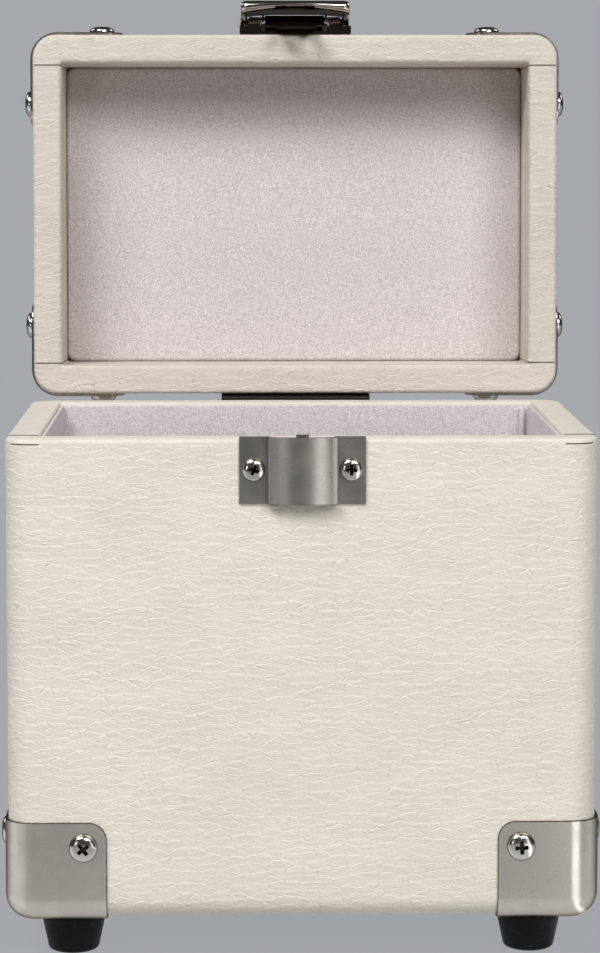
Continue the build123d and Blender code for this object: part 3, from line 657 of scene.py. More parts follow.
def cover_rows(half, shape):
    """Section of the covering from the middle of its closed end, over the rim and back."""
    height, edge, inner = half.height, shape.rim_radius, half.inner_radius
    rows = [Row(END_INSET, height)]
    for angle in arc_steps(7):
        rows.append(Row(END_RADIUS * (1 - sin(angle)), height - END_RADIUS * (1 - cos(angle)),
                        -sin(angle), cos(angle), "wall"))
    wall = height - END_RADIUS - edge - RIM_LEDGE
    count = round(wall / SPACING)
    for step in range(1, count + 1):
        rows.append(Row(0, height - END_RADIUS - wall * step / count, -1, 0, "wall"))
    if half is BODY:
        for near, part in CUT_ROWS:
            rows.append(Row(0, edge + near, -1, 0, part))
    for place, angle in enumerate(arc_steps(6)):
        rows.append(Row(edge * (1 - cos(angle)), edge * (1 - sin(angle)), -cos(angle), -sin(angle),
                        "rim" if place > 2 else "wall"))
    for step in range(1, 4):
        rows.append(Row(edge + (WALL - edge - inner) * step / 4, 0, 0, -1, "rim"))
    for angle in arc_steps(5):
        rows.append(Row(WALL - inner * (1 - sin(angle)), inner * (1 - cos(angle)),
                        sin(angle), -cos(angle), "rim"))
    count = max(1, round((half.turn_in - inner) / SPACING))
    for step in range(1, count + 1):
        rows.append(Row(WALL, inner + (half.turn_in - inner) * step / count, 1, 0, "rim"))
    rows += [Row(WALL - COVER, half.turn_in), Row(WALL - COVER, edge),
             Row(WALL - COVER - edge / 2, COVER_FLOOR), Row(edge, COVER_FLOOR), Row(COVER, edge)]
    for angle in arc_steps(4):
        radius = END_RADIUS - COVER
        rows.append(Row(COVER + radius * (1 - cos(angle)), height - END_RADIUS + radius * sin(angle)))
    rows.append(Row(END_INSET, height - COVER))
    return rows


def flap_lift(shape, row, station):
    """How far a folded flap of the covering stands out, and how much painted shade its slit and cut edge take."""
    past, start = station.from_end - shape.seam_inset, 0.05 * MM
    slit, shown = shape.seam_width + 0.15 * MM, shape.seam_width + 0.25 * MM
    if row.part == "rim" and past > start:
        if past < slit:
            return -shape.seam_depth, 1.0
        return shape.flap_rise * max(0.0, 1 - past / shape.flap_run), 1.0 if past < shown else 0.0
    near_end = 3 * MM
    if row.part == "edge" and station.from_end < near_end and station.from_side <= shape.seam_inset:
        return -0.6 * shape.seam_depth, 1.0
    return 0.0, 0.0


def make_covering(half, node, shape):
    """The covering of one half, folded over its rim, with a flap and a slit at each corner."""
    seam, lip, run, dimple = shape.seam_inset, 0.1 * MM, 6 * MM, 16 * MM
    slit = seam + lip + shape.seam_width
    along_x = spaced(2 * HALF_WIDTH, [seam, seam + 3 * lip, seam + run])
    along_y = spaced(2 * HALF_DEPTH, [seam, seam + lip, slit, slit + lip, slit + 3 * lip, seam + run,
                                      seam + shape.flap_run])
    # On the lid the flaps stand half as high and the painted seam shade is half as strong.
    draft, subdued = (shape.lid_draft, 0.5) if half is LID else (0.0, 1.0)
    loops, seam_shades = [], []
    for row in cover_rows(half, shape):
        drawn = draft * max(0.0, 1 - row.depth / SPACING) * max(0.0, 1 - row.inset / run)
        loop = []
        for station in outline(row.inset + drawn, 8, along_x, along_y):
            lift, cut = flap_lift(shape, row, station)
            lift *= subdued if lift > 0 else 1
            if row.part != "hidden":
                spot = Vector((station.x, station.y, row.depth + half.height))
                lift += shape.slack * noise.noise(spot / dimple)
            move = station.out * (-row.out_inset * lift)
            loop.append((station.x + move.x, station.y + move.y, row.depth + row.out_depth * lift))
            seam_shades.append(cut * subdued)
        loops.append(loop)
    name = f"{half.name}_leatherette"
    piece = settle(skin(loops, half.place), name, finish_of(name), 40.0)
    return fit(marked(piece, "seam", seam_shades), half.body, "leatherette", node)


def lining_rows(height, shape):
    """Section of the case's felt, from outside its floor, over its rolled edge and down inside."""
    end, top, rounding = height - LINING_OUTSIDE, shape.lining_edge, shape.lining_radius
    outside, face, under = WALL + 0.1 * MM, shape.lining_face, TURN_IN + 0.3 * MM
    roll = (face - outside) / 2
    rows = [(FLOOR_INSET, end), (LINING_OUTSIDE, end), (LINING_OUTSIDE, under), (outside, under),
            (outside, top + roll)]
    for angle in arc_steps(4)[1:]:
        rows.append((outside + roll * (1 - cos(angle)), top + roll * (1 - sin(angle))))
    for angle in arc_steps(4)[1:]:
        rows.append((face - roll * (1 - sin(angle)), top + roll * (1 - cos(angle))))
    deepest = end - LINING - rounding
    count = round((deepest - top) / SPACING)
    for step in range(1, count + 1):
        rows.append((face, top + roll + (deepest - top - roll) * step / count))
    for angle in arc_steps(5)[1:]:
        rows.append((face + rounding * (1 - cos(angle)), deepest + rounding * sin(angle)))
    rows.append((FLOOR_INSET, end - LINING))
    return rows


def make_lining(shape):
    """The felt lining of the case, with an uneven rolled edge."""
    corner, wave, rise = 20 * MM, 9 * MM, 0.3 * MM
    along_x = spaced(2 * HALF_WIDTH, [corner])
    along_y = spaced(2 * HALF_DEPTH, [corner])
    loops = []
    for inset, depth in lining_rows(BODY.height, shape):
        loop = []
        for station in outline(inset, 5, along_x, along_y):
            spot = Vector((station.x, station.y, depth)) / wave
            uneven = rise * noise.noise(spot) if depth < corner else 0.0
            move = station.out * (uneven * 0.6)
            loop.append((station.x + move.x, station.y + move.y, depth + uneven))
        loops.append(loop)
    piece = settle(skin(loops, BODY.place), "body_felt", finish_of("felt"), 50.0)
    return fit(piece, BODY.body, "felt", "body_lining")


def make_lining_roll(shape):
    """The rolled edge where the felt laps in the case's rear right corner."""
    radius, along_wall, below_edge, count = 1.25 * MM, 2.7 * MM, 0.8 * MM, 12
    centre = (HALF_WIDTH - shape.lining_face - along_wall, HALF_DEPTH - shape.lining_face - 0.7 * radius)
    top = shape.lining_edge + below_edge
    bottom = BODY.height - LINING_OUTSIDE - LINING - 0.5 * MM
    sections = [(radius * 0.4, top), (radius * 0.85, top + 0.25 * radius)]
    start = top + radius * 0.6
    sections += [(radius, start + (bottom - start) * step / count) for step in range(count + 1)]
    loops = [round_loop(centre, size, depth, 12) for size, depth in sections]
    piece = settle(skin(loops, BODY.place), "body_felt_roll", finish_of("felt"), 60.0)
    return fit(piece, BODY.body, "felt")


def rounded_outline(half_x, half_y, radius, steps):
    """Points round a rectangle with rounded corners."""
    points = []
    for corner, (sign_x, sign_y) in enumerate(((1, 1), (-1, 1), (-1, -1), (1, -1))):
        for step in range(steps + 1):
            angle = (corner + step / steps) * pi / 2
            points.append((sign_x * (half_x - radius) + radius * cos(angle),
                           sign_y * (half_y - radius) + radius * sin(angle)))
    return points


def make_lid_panel(shape):
    """The felt-covered panel that closes the lid's inside."""
    inner, thick, chamfer = WALL + 0.12 * MM, shape.panel_thickness, (0.6 * MM, 0.4 * MM)
    back, middle, smallest = LID.height - LINING_OUTSIDE, 20 * MM, 1 * MM
    roll = thick / 2
    sections = [(chamfer[0], back), (0.0, back - chamfer[1]), (0.0, back - thick + roll)]
    for angle in arc_steps(4)[1:]:
        sections.append((roll * (1 - cos(angle)), back - thick + roll * (1 - sin(angle))))
    sections.append((middle, back - thick))
    loops = []
    for inset, depth in sections:
        points = rounded_outline(HALF_WIDTH - inner - inset, HALF_DEPTH - inner - inset,
                                 max(shape.panel_radius - inset, smallest), 8)
        loops.append([(x, y, depth) for x, y in points])
    piece = settle(skin(loops, LID.place), "lid_felt_panel", finish_of("felt"), 60.0)
    return fit(piece, LID.body, "felt", "lid_lining")


# ---- Metal ------------------------------------------------------------------------------------

JOIN_DISTANCE = 0.002 * MM
FLAT_ANGLE = radians(0.6)
KEPT_SHARP = radians(46.0)
CUT_WIDTH = 2.6 * MM
CUT_SHARE = 0.6


def body_of(node):
    """The body that a node of the frame rides on."""
    bodies = frame["record"]["behaviour"]["bodies"]
    return next(body for body, members in bodies.items() if node in members)


def merged(node):
    """A bmesh of a rigid node, its loose triangles joined and its flat faces made whole."""
    bm = bmesh.new()
    bm.from_mesh(frame["nodes"][node].data)
    bmesh.ops.remove_doubles(bm, verts=bm.verts, dist=JOIN_DISTANCE)
    bmesh.ops.dissolve_limit(bm, angle_limit=FLAT_ANGLE, verts=bm.verts, edges=bm.edges)
    return bm


def rounded(piece, edge, sharp=30.0):
    """The piece with its edges rounded over."""
    rounding = piece.modifiers.new("edges", "BEVEL")
    rounding.width = edge
    rounding.segments = 2
    rounding.limit_method = "ANGLE"
    rounding.angle_limit = radians(sharp)
    # The rounding takes the piece's last material: on edged plates, that is the painted edge shade.
    rounding.material = len(piece.data.materials) - 1
    applied(piece)
    piece.data.polygons.foreach_set("use_smooth", [True] * len(piece.data.polygons))
    piece.data.set_sharp_from_angle(angle=KEPT_SHARP)
    shading = piece.modifiers.new("flat faces", "WEIGHTED_NORMAL")
    shading.keep_sharp = True
    shading.weight = 90
    return applied(piece)


def edged(piece, material):
    """The piece with that dark material on its cut edges, painted shade where the sheet's edge stands in shadow:
    narrow faces between two sharp corners.
    """
    sharp = {tuple(sorted(line.vertices)) for line in piece.data.edges if line.use_edge_sharp}
    points = piece.data.vertices
    piece.data.materials.append(material)
    for face in piece.data.polygons:
        lines = [(points[a].co - points[b].co).length for a, b in face.edge_keys]
        cut = sum(size for size, key in zip(lines, face.edge_keys) if tuple(sorted(key)) in sharp)
        if face.area / max(lines) < CUT_WIDTH and cut > CUT_SHARE * sum(lines):
            face.material_index = 1
    return piece


def dressed_copy(node, name, material, slot, edge):
    """A rigid node made again with rounded edges, in place of the frame's own."""
    piece = settle(merged(node), name, finish_of(material), 30.0)
    # The plates' cut edges get painted shade.
    if material in ("satin_plate", "keeper_plate"):
        edged(piece, finish_of("cut_steel"))
    return fit(rounded(piece, edge), body_of(node), slot, node)


def keep_node(node, material):
    """A frame node that stays as it is, with a finish of its own."""
    slots = frame["nodes"][node].data.materials
    slots.clear()
    slots.append(finish_of(material))


def make_lever(edge):
    """The latch's lever, its flat finger end cut off for the rolled lip that takes its place."""
    bm = merged("latch_lever")
    foot = on_lid_front(0, LEVER_FOOT, 0)
    back = (on_lid_front(0, PIVOT_RISE, 0) - foot).normalized()
    bmesh.ops.bisect_plane(bm, geom=bm.verts[:] + bm.edges[:] + bm.faces[:], dist=JOIN_DISTANCE / 2,
                           plane_co=foot, plane_no=back, clear_inner=True)
    bmesh.ops.holes_fill(bm, edges=[line for line in bm.edges if line.is_boundary])
    bmesh.ops.recalc_face_normals(bm, faces=bm.faces)
    piece = rounded(settle(bm, "latch_lever_plate", finish_of("polished_chrome"), 30.0), edge)
    return fit(piece, "latch_lever", "chrome", "latch_lever")


def make_lip():
    """The lever's rolled finger lip: full at its ends and arched underneath in the middle."""
    count, around, end_round, bulge, thinnest = 40, 20, 2.4 * MM, 0.7 * MM, 0.02
    loops = []
    for step in range(count + 1):
        x = -LEVER_HALF * cos(step / count * pi)
        close = max(0.0, 1 - (LEVER_HALF - abs(x)) / end_round)
        fullness = max(thinnest, sqrt(1 - close * close))
        inward = 1 - (x / LEVER_HALF) ** 2
        low = LEVER_SHOULDER + LEVER_ARCH * inward
        tip = thinnest if step in (0, count) else 1
        tall = (LIP_TOP - low) / 2 * (0.55 + 0.45 * fullness) * tip
        deep = (LIP_BACK - LIP_FRONT) / 2 * (0.45 + 0.55 * fullness) * tip
        loop = []
        for spoke in range(around):
            across, up = cos(spoke / around * 2 * pi), sin(spoke / around * 2 * pi)
            rise = (LIP_BACK + LIP_FRONT) / 2 + deep * across - bulge * inward * max(0.0, -across)
            loop.append(on_lid_front(x, rise, (low + LIP_TOP) / 2 + tall * up))
        loops.append(loop)
    piece = settle(skin(loops), "latch_finger_lip", finish_of("polished_chrome"), 60.0)
    return fit(piece, "latch_lever", "chrome")


def make_latch_stop():
    """The turned-up end of the latch's base, behind its hook."""
    bm = bmesh.new()
    for corner in bmesh.ops.create_cube(bm, size=1.0)["verts"]:
        corner.co = on_lid_front(
            2 * STOP_HALF * corner.co.x, STOP_LOW + (STOP_HIGH - STOP_LOW) * (corner.co.y + 0.5),
            STOP_NEAR + (STOP_FAR - STOP_NEAR) * (corner.co.z + 0.5))
    bmesh.ops.recalc_face_normals(bm, faces=bm.faces)
    piece = rounded(settle(bm, "latch_stop", finish_of("polished_chrome"), 30.0), STOP_EDGE)
    return fit(piece, "lid", "chrome")


def make_springs():
    """Coil springs on the latch's pivot, one on each side of the hook."""
    coil, wire, turns, around, section = 2.0 * MM, 0.42 * MM, 6, 16, 6
    inside, outside = 14.0 * MM, 19.2 * MM
    bm = bmesh.new()
    for side in (-1, 1):
        loops = []
        for step in range(turns * around + 1):
            angle = step / around * 2 * pi
            x = side * (inside + (outside - inside) * step / (turns * around))
            loop = []
            for spoke in range(section):
                lean = spoke / section * 2 * pi
                reach = coil + wire * cos(lean)
                loop.append(on_lid_front(x + wire * sin(lean), PIVOT_RISE + reach * cos(angle),
                                         PIVOT_STAND + reach * sin(angle)))
            loops.append(loop)
        skin(loops, bm=bm)
    return fit(settle(bm, "latch_springs", finish_of("polished_chrome"), 60.0), "lid", "chrome")


# ---- Screws and stitches ----------------------------------------------------------------------

SCREW_TURN = radians(40)
STITCH_TURN = radians(4)
STITCH_SEED = 11
SMALL_PART_SHARP = radians(38)


def placing_tree():
    """Geometry Nodes that set one small part on every point, facing and running as the point says."""
    tree = bpy.data.node_groups.new("Set in place", "GeometryNodeTree")
    for label, kind in (("Points", "Geometry"), ("Part", "Object"), ("Loose Turn", "Float"),
                        ("Seed", "Int"), ("Material", "Material")):
        tree.interface.new_socket(label, in_out="INPUT", socket_type=f"NodeSocket{kind}")
    tree.interface.new_socket("Parts", in_out="OUTPUT", socket_type="NodeSocketGeometry")
    w = Wiring(tree)
    given = w.add("NodeGroupInput").outputs
    facing, along, size = (
        w.add("GeometryNodeInputNamedAttribute", {"Name": name}, data_type=kind).outputs[0]
        for name, kind in (("facing", "FLOAT_VECTOR"), ("along", "FLOAT_VECTOR"), ("size", "FLOAT")))
    up = w.add("FunctionNodeAlignRotationToVector", {"Vector": facing}, axis="Z").outputs[0]
    run = w.add("FunctionNodeAlignRotationToVector", {"Rotation": up, "Vector": along},
                axis="X", pivot_axis="Z").outputs[0]
    turn = w.add("FunctionNodeRandomValue", {
        2: w.times(given["Loose Turn"], -1.0), 3: given["Loose Turn"], "Seed": given["Seed"]},
        data_type="FLOAT").outputs[1]
    spin = w.add("FunctionNodeAxisAngleToRotation", {"Axis": (0, 0, 1), "Angle": turn}).outputs[0]
    pose = w.add("FunctionNodeRotateRotation", {"Rotation": run, "Rotate By": spin},
                 rotation_space="LOCAL").outputs[0]
    part = w.add("GeometryNodeObjectInfo", {"Object": given["Part"], "As Instance": True})
    set_out = w.add("GeometryNodeInstanceOnPoints", {
        "Points": given["Points"], "Instance": part.outputs["Geometry"], "Rotation": pose, "Scale": size})
    real = w.add("GeometryNodeRealizeInstances", {"Geometry": set_out.outputs[0]})
    dressed = w.add("GeometryNodeSetMaterial", {
        "Geometry": real.outputs[0], "Material": given["Material"]})
    w.feed(w.add("NodeGroupOutput").inputs[0], dressed.outputs[0])
    return tree


def set_parts(name, part, places, loose_turn, seed, material):
    """One mesh of a part repeated at places, each (point, facing, along, size)."""
    mesh = bpy.data.meshes.new(name)
    mesh.from_pydata([place[0] for place in places], [], [])
    for label, kind, field, index in (
            ("facing", "FLOAT_VECTOR", "vector", 1), ("along", "FLOAT_VECTOR", "vector", 2),
            ("size", "FLOAT", "value", 3)):
        attribute = mesh.attributes.new(label, kind, "POINT")
        for entry, place in zip(attribute.data, places):
            setattr(entry, field, place[index])
    piece = bpy.data.objects.new(name, mesh)
    bpy.context.scene.collection.objects.link(piece)
    if "placing" not in GROUPS:
        GROUPS["placing"] = placing_tree()
    values = {"Part": part, "Loose Turn": loose_turn, "Seed": seed, "Material": material}
    modifier = piece.modifiers.new("set", "NODES")
    modifier.node_group = GROUPS["placing"]
    for item in modifier.node_group.interface.items_tree:
        if item.in_out == "INPUT" and item.name in values:
            modifier[item.identifier] = values[item.name]
    applied(piece)
    piece.data.set_sharp_from_angle(angle=SMALL_PART_SHARP)
    return piece


def remove(piece):
    """Take a helper out of the scene with its mesh."""
    mesh = piece.data
    bpy.data.objects.remove(piece)
    bpy.data.meshes.remove(mesh)


def screw_head():
    """A domed head of radius 1 with a cross recess, facing up its own Z."""
    around, exponent, foot, foot_height, land = 32, 0.76, 0.96, 0.03, 0.08
    dome = HEAD_SHARE - land
    loops = [round_loop((0, 0), radius, height, around)
             for radius, height in ((foot, 0.0), (1.0, foot_height), (1.0, land))]
    for angle in arc_steps(9)[1:-1]:
        loops.append(round_loop((0, 0), cos(angle) ** exponent, land + dome * sin(angle) ** exponent,
                                around))
    head = settle(skin(loops), "screw_head", finish_of("polished_chrome"), 40.0)
    top, floor = (0.7, 0.575, 0.1625), (0.2, 0.31, 0.0975)
    cutter = bmesh.new()
    for turn in (0, pi / 2):
        skin([[(x * reach, y * half, height) for x, y in ((1, 1), (-1, 1), (-1, -1), (1, -1))]
              for height, reach, half in (top, floor)], Matrix.Rotation(turn, 4, "Z"), cutter)
    cross = settle(cutter, "cross_recess", finish_of("polished_chrome"), 40.0)
    recess = head.modifiers.new("recess", "BOOLEAN")
    recess.operation = "DIFFERENCE"
    recess.solver = "EXACT"
    recess.use_self = True
    recess.object = cross
    applied(head)
    remove(cross)
    recess_edge, hollow_from = 0.035, 0.05
    rounded(head, recess_edge, 40.0)
    depths = []
    for vert in head.data.vertices:
        share = min(1.0, Vector(vert.co[:2]).length) ** (1 / exponent)
        surface = land + dome * max(0.0, 1 - share * share) ** (exponent / 2)
        depths.append(1.0 if land < vert.co.z < surface - hollow_from else 0.0)
    return marked(head, "hollow", depths)


def islands(node):
    """Corners of the box of each loose part of a node, in a half's own coordinates."""
    half = BODY if body_of(node) == BODY.body else LID
    home = half.place.inverted()
    bm = merged(node)
    left = set(bm.verts)
    while left:
        group, edge = set(), [left.pop()]
        while edge:
            vert = edge.pop()
            group.add(vert)
            for line in vert.link_edges:
                other = line.other_vert(vert)
                if other in left:
                    left.remove(other)
                    edge.append(other)
        points = [home @ vert.co for vert in group]
        yield half, Vector(map(min, zip(*points))), Vector(map(max, zip(*points)))
    bm.free()


def screw_places(node):
    """Where the heads of a node's screws sit: (point, facing, along, radius)."""
    places = []
    for half, low, high in islands(node):
        extent, middle = high - low, (high + low) / 2
        axis = max(range(3), key=lambda index: abs(
            extent[index] - extent[(index + 1) % 3]) + abs(extent[index] - extent[(index + 2) % 3]))
        radius = extent[(axis + 1) % 3] / 2
        outwards = 1 if axis == 2 or middle[axis] > 0 else -1
        seat = middle.copy()
        seat[axis] = (high if outwards > 0 else low)[axis] - outwards * HEAD_SHARE * radius
        facing = Vector([outwards if index == axis else 0 for index in range(3)])
        along = Vector([1 if index == (axis + 1) % 3 else 0 for index in range(3)])
        turn = half.place.to_3x3()
        places.append((half.place @ seat, turn @ facing, turn @ along, radius))
    return sorted(places, key=lambda place: tuple(round(value, 4) for value in place[0]))


def make_screws():
    """Every screw head of the case, in place of the frame's plain ones."""
    head = screw_head()
    kinds = {"body_corner_screws": "chrome", "lid_corner_screws": "chrome", "keeper_screws": "nickel",
             "hinge_body_screws": "nickel", "hinge_lid_screws": "nickel", "latch_base_screws": "chrome",
             "handle_bracket_screws": "chrome", "foot_screws": "nickel"}
    for seed, (node, slot) in enumerate(kinds.items()):
        piece = set_parts(f"set_{node}", head, screw_places(node), SCREW_TURN, seed,
                          finish_of("bright_screw"))
        fit(piece, body_of(node), slot, node)
    remove(head)


# ---- Feet and grip ----------------------------------------------------------------------------

def make_foot(node):
    """A moulded rubber foot with a soft tread and a recess for its screw."""
    low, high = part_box(node)
    centre = ((low.x + high.x) / 2, (low.y + high.y) / 2)
    top, height, bead, collar, flare = (high.x - low.x) / 2, high.z, 0.4 * MM, 3 * MM, 0.25 * MM
    tread, edge, recess, recess_deep, middle = 9.6 * MM, 1.8 * MM, 5.6 * MM, 8.6 * MM, 2 * MM
    sections = [(middle, height), (top - bead, height), (top, height - bead),
                (top - bead / 2, height - collar), (tread + flare, edge + bead * 3)]
    for angle in arc_steps(5):
        sections.append((tread - edge * (1 - cos(angle)), edge * (1 - sin(angle))))
    sections += [(recess + 0.5 * MM, 0.0), (recess, bead), (recess, recess_deep), (middle, recess_deep)]
    loops = [round_loop(centre, radius, depth, 48) for radius, depth in sections]
    piece = settle(skin(loops), f"rubber_{node}", finish_of("rubber"), 50.0)
    return fit(piece, "case_body", "rubber", node)


def squared(value):
    """A sine or cosine that makes a circle a little square."""
    return abs(value) ** 0.8 * (1 if value > 0 else -1)


def grip_section(low, high, share, around):
    """One loop round the grip, at a share of its length."""
    middle, half = (low + high) / 2, (high - low) / 2
    end, taper, seam_pinch = abs(2 * share - 1), 0.12, 0.6 * MM
    full = (1 - taper * end ** 2) * (0.9 if end > 0.97 else 1)
    loop = []
    for spoke in range(around):
        angle = spoke / around * 2 * pi
        across, up = squared(cos(angle)), squared(sin(angle))
        loop.append((low.x + (high.x - low.x) * share, middle.y + half.y * across * full,
                     middle.z + half.z * up * full + seam_pinch * max(0.0, -up) ** 8))
    return loop


def make_stitch():
    """One stitch, about 1 long: a thread that comes up out of the leatherette and goes back in."""
    reach, thick, steps, around = 0.425, 0.11, 6, 6
    loops = []
    for step in range(steps + 1):
        turn = step / steps * pi
        middle = Vector((-reach * cos(turn), 0, thick * 0.9 * sin(turn)))
        radius = thick * (0.35 + 0.65 * sin(turn))
        loops.append([middle + Vector((0, cos(spoke * pi / 3), sin(spoke * pi / 3))) * radius
                      for spoke in range(around)])
    return settle(skin(loops), "stitch", finish_of("thread"), 60.0)


def make_grip(shape):
    """The handle's grip: leatherette round a padded bar, closed by a stitched seam underneath."""
    low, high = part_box("handle_grip")
    around, tuck = 36, (low + high) / 2
    ends = [0, 0.004, 0.012, 0.03]
    shares = ends + [0.05 + 0.9 * step / 24 for step in range(25)] + [1 - end for end in reversed(ends)]
    loops = [grip_section(low, high, share, around) for share in shares]
    for loop in (loops[0], loops[-1]):
        loop[:] = [Vector(point).lerp((point[0], tuck.y, tuck.z), 0.12) for point in loop]
    piece = settle(skin(loops), "grip_leatherette", finish_of("grip_leatherette"), 50.0)
    fit(piece, "handle", "grip_leather", "handle_grip")
    seam_start, seam_share, pitch = 0.07, 0.86, shape.stitch_length * 1.35
    count = round((high.x - low.x) * seam_share / pitch)
    places = []
    for side in (-1, 1):
        for step in range(count):
            loop = grip_section(low, high, seam_start + seam_share * (step + 0.5) / count, around)
            point = Vector(loop[round(around * 0.75) + side * 2])
            out = (point - Vector((point.x, tuck.y, tuck.z))).normalized()
            places.append((point, out, Vector((1, 0, 0)), shape.stitch_length))
    thread = make_stitch()
    stitches = set_parts("grip_stitches", thread, places, STITCH_TURN, STITCH_SEED, finish_of("thread"))
    fit(stitches, "handle", "grip_leather")
    remove(thread)


# ---- Operators --------------------------------------------------------------------------------

class CaseStep:
    """What the steps have in common: each makes its pieces to the case's settings."""

    def execute(self, context):
        self.make(context.scene.case_shape)
        return {"FINISHED"}


class MakeCovering(CaseStep, bpy.types.Operator):
    """Cover both halves in leatherette"""

    bl_idname = "record_case.make_covering"
    bl_label = "Leatherette"

    def make(self, shape):
        make_covering(BODY, "body_cover", shape)
        make_covering(LID, "lid_cover", shape)


class MakeLining(CaseStep, bpy.types.Operator):
    """Line the case with felt and close the lid with its felt panel"""

    bl_idname = "record_case.make_lining"
    bl_label = "Felt lining"

    def make(self, shape):
        make_lining(shape)
        make_lining_roll(shape)
        make_lid_panel(shape)


class MakeBoards(CaseStep, bpy.types.Operator):
    """Give the boards under the covering their finish"""

    bl_idname = "record_case.make_boards"
    bl_label = "Boards"

    def make(self, shape):
        for node in frame["nodes"]:
            if node.endswith("_board"):
                keep_node(node, "fibreboard")


class MakeCorners(CaseStep, bpy.types.Operator):
    """Round and plate the eight corner caps"""

    bl_idname = "record_case.make_corners"
    bl_label = "Corner caps"

    def make(self, shape):
        for node in frame["nodes"]:
            if "_corner_" in node and not node.endswith("_screws"):
                dressed_copy(node, f"{node}_cap", "satin_plate", "chrome", shape.metal_edge)


class MakeKeeperAndHinge(CaseStep, bpy.types.Operator):
    """Round and plate the keeper and the hinge"""

    bl_idname = "record_case.make_keeper_and_hinge"
    bl_label = "Keeper and hinge"

    def make(self, shape):
        edge = shape.metal_edge / 2
        for node in ("keeper_plate", "keeper_catch", "foot_washers"):
            dressed_copy(node, f"plated_{node}", "keeper_plate", "nickel", edge)
        for node in ("hinge_body_leaf", "hinge_lid_leaf", "hinge_pin"):
            dressed_copy(node, f"plated_{node}", "hinge_plate", "nickel", edge)


class MakeLatchAndHandle(CaseStep, bpy.types.Operator):
    """Round and plate the latch and the handle's metal"""

    bl_idname = "record_case.make_latch_and_handle"
    bl_label = "Latch and handle"

    def make(self, shape):
        edge = shape.metal_edge / 2
        # The latch's parts under the lever get the chrome painted darker as shade.
        for node in ("latch_base", "latch_hook", "latch_pivot_rivets", "hook_pin"):
            dressed_copy(node, f"chromed_{node}", "smoked_chrome", "chrome", edge)
        for node in ("handle_bracket_left", "handle_bracket_right", "handle_bail", "handle_ferrules"):
            dressed_copy(node, f"chromed_{node}", "polished_chrome", "chrome", edge)
        make_lever(edge)
        make_lip()
        make_latch_stop()
        make_springs()


class MakeScrews(CaseStep, bpy.types.Operator):
    """Drive every screw"""

    bl_idname = "record_case.make_screws"
    bl_label = "Screws"

    def make(self, shape):
        make_screws()


class MakeFeet(CaseStep, bpy.types.Operator):
    """Mould the four rubber feet"""

    bl_idname = "record_case.make_feet"
    bl_label = "Feet"

    def make(self, shape):
        for end in ("front", "rear"):
            for side in ("left", "right"):
                make_foot(f"foot_{end}_{side}")


class MakeGrip(CaseStep, bpy.types.Operator):
    """Wrap the handle's grip"""

    bl_idname = "record_case.make_grip"
    bl_label = "Grip"

    def make(self, shape):
        make_grip(shape)


# ---- Stage ------------------------------------------------------------------------------------

LAMP_TARGET = (0, CASE_MIDDLE, 0.25)
# How strongly the floor glows as metal sees it, brighter than it looks: a painted reflection.
FLOOR_GLOW = 1.4


def area_lamp(name, place, size, power):
    """A soft rectangular lamp that faces the case, sized in metres, its power in watts."""
    lamp = bpy.data.lights.new(name, "AREA")
    lamp.shape = "RECTANGLE"
    lamp.size, lamp.size_y = size
    lamp.energy = power
    holder = bpy.data.objects.new(name, lamp)
    holder.location = place
    holder.rotation_euler = (Vector(LAMP_TARGET) - Vector(place)).to_track_quat("-Z", "Y").to_euler()
    holder.visible_camera = False
    bpy.context.scene.collection.objects.link(holder)


def backdrop_finish(stage):
    """Plain paper, seen evenly and in the case's shadow, with painted glowing panels that only metal mirrors."""
    material, w, shader, place = new_material("backdrop_paper", {
        "Base Color": opaque(stage.paper), "Roughness": 0.9})
    glow = w.add("ShaderNodeEmission", {"Color": opaque(stage.backdrop)})
    rays = w.add("ShaderNodeLightPath").outputs
    spot = w.add("ShaderNodeSeparateXYZ", {0: place}).outputs
    front, nearest = CASE_MIDDLE - HALF_DEPTH, 0.01
    ahead = w.math("MAXIMUM", w.minus(front, spot["Y"]), nearest)
    right = w.math("DIVIDE", w.minus(spot["X"], HALF_WIDTH), ahead)
    left = w.math("DIVIDE", w.minus(-HALF_WIDTH, spot["X"]), ahead)
    # Painted reflections: panels that glow only for glossy rays, strongest to the case's right, weaker behind the
    # case's front and weakest far back.
    right_glow, left_glow, near_glow, beside_case, far_back = 5.0, 0.8, 0.9, 0.5, 0.15
    right_panel = w.times(w.step(right, 0.1, 0.22, 0.0, right_glow), w.step(right, 0.7, 0.95, 1.0, 0.0))
    left_panel = w.step(left, 0.5, 0.9, 0.0, left_glow)
    near_panel = w.step(ahead, 0.02, 0.14, near_glow, 0.0)
    lit = w.plus(w.plus(w.plus(right_panel, left_panel), near_panel), FLOOR_GLOW)
    lit = w.times(lit, w.step(spot["Y"], front, front + 0.12, 1.0, beside_case))
    lit = w.times(lit, w.step(spot["Y"], 0.6, 1.05, 1.0, far_back))
    plain = w.minus(1.0, rays["Is Glossy Ray"])
    w.feed(glow.inputs["Strength"], w.plus(w.times(rays["Is Glossy Ray"], lit), plain))
    to_camera, to_metal = 0.92, 0.85
    seen = w.plus(w.times(rays["Is Camera Ray"], to_camera), w.times(rays["Is Glossy Ray"], to_metal))
    mix = w.add("ShaderNodeMixShader", {0: seen, 1: shader.outputs[0], 2: glow.outputs[0]})
    behind = w.add("ShaderNodeNewGeometry").outputs["Backfacing"]
    clear = w.add("ShaderNodeBsdfTransparent")
    sided = w.add("ShaderNodeMixShader", {0: behind, 1: mix.outputs[0], 2: clear.outputs[0]})
    w.feed(material.node_tree.nodes["Material Output"].inputs["Surface"], sided.outputs[0])
    return material


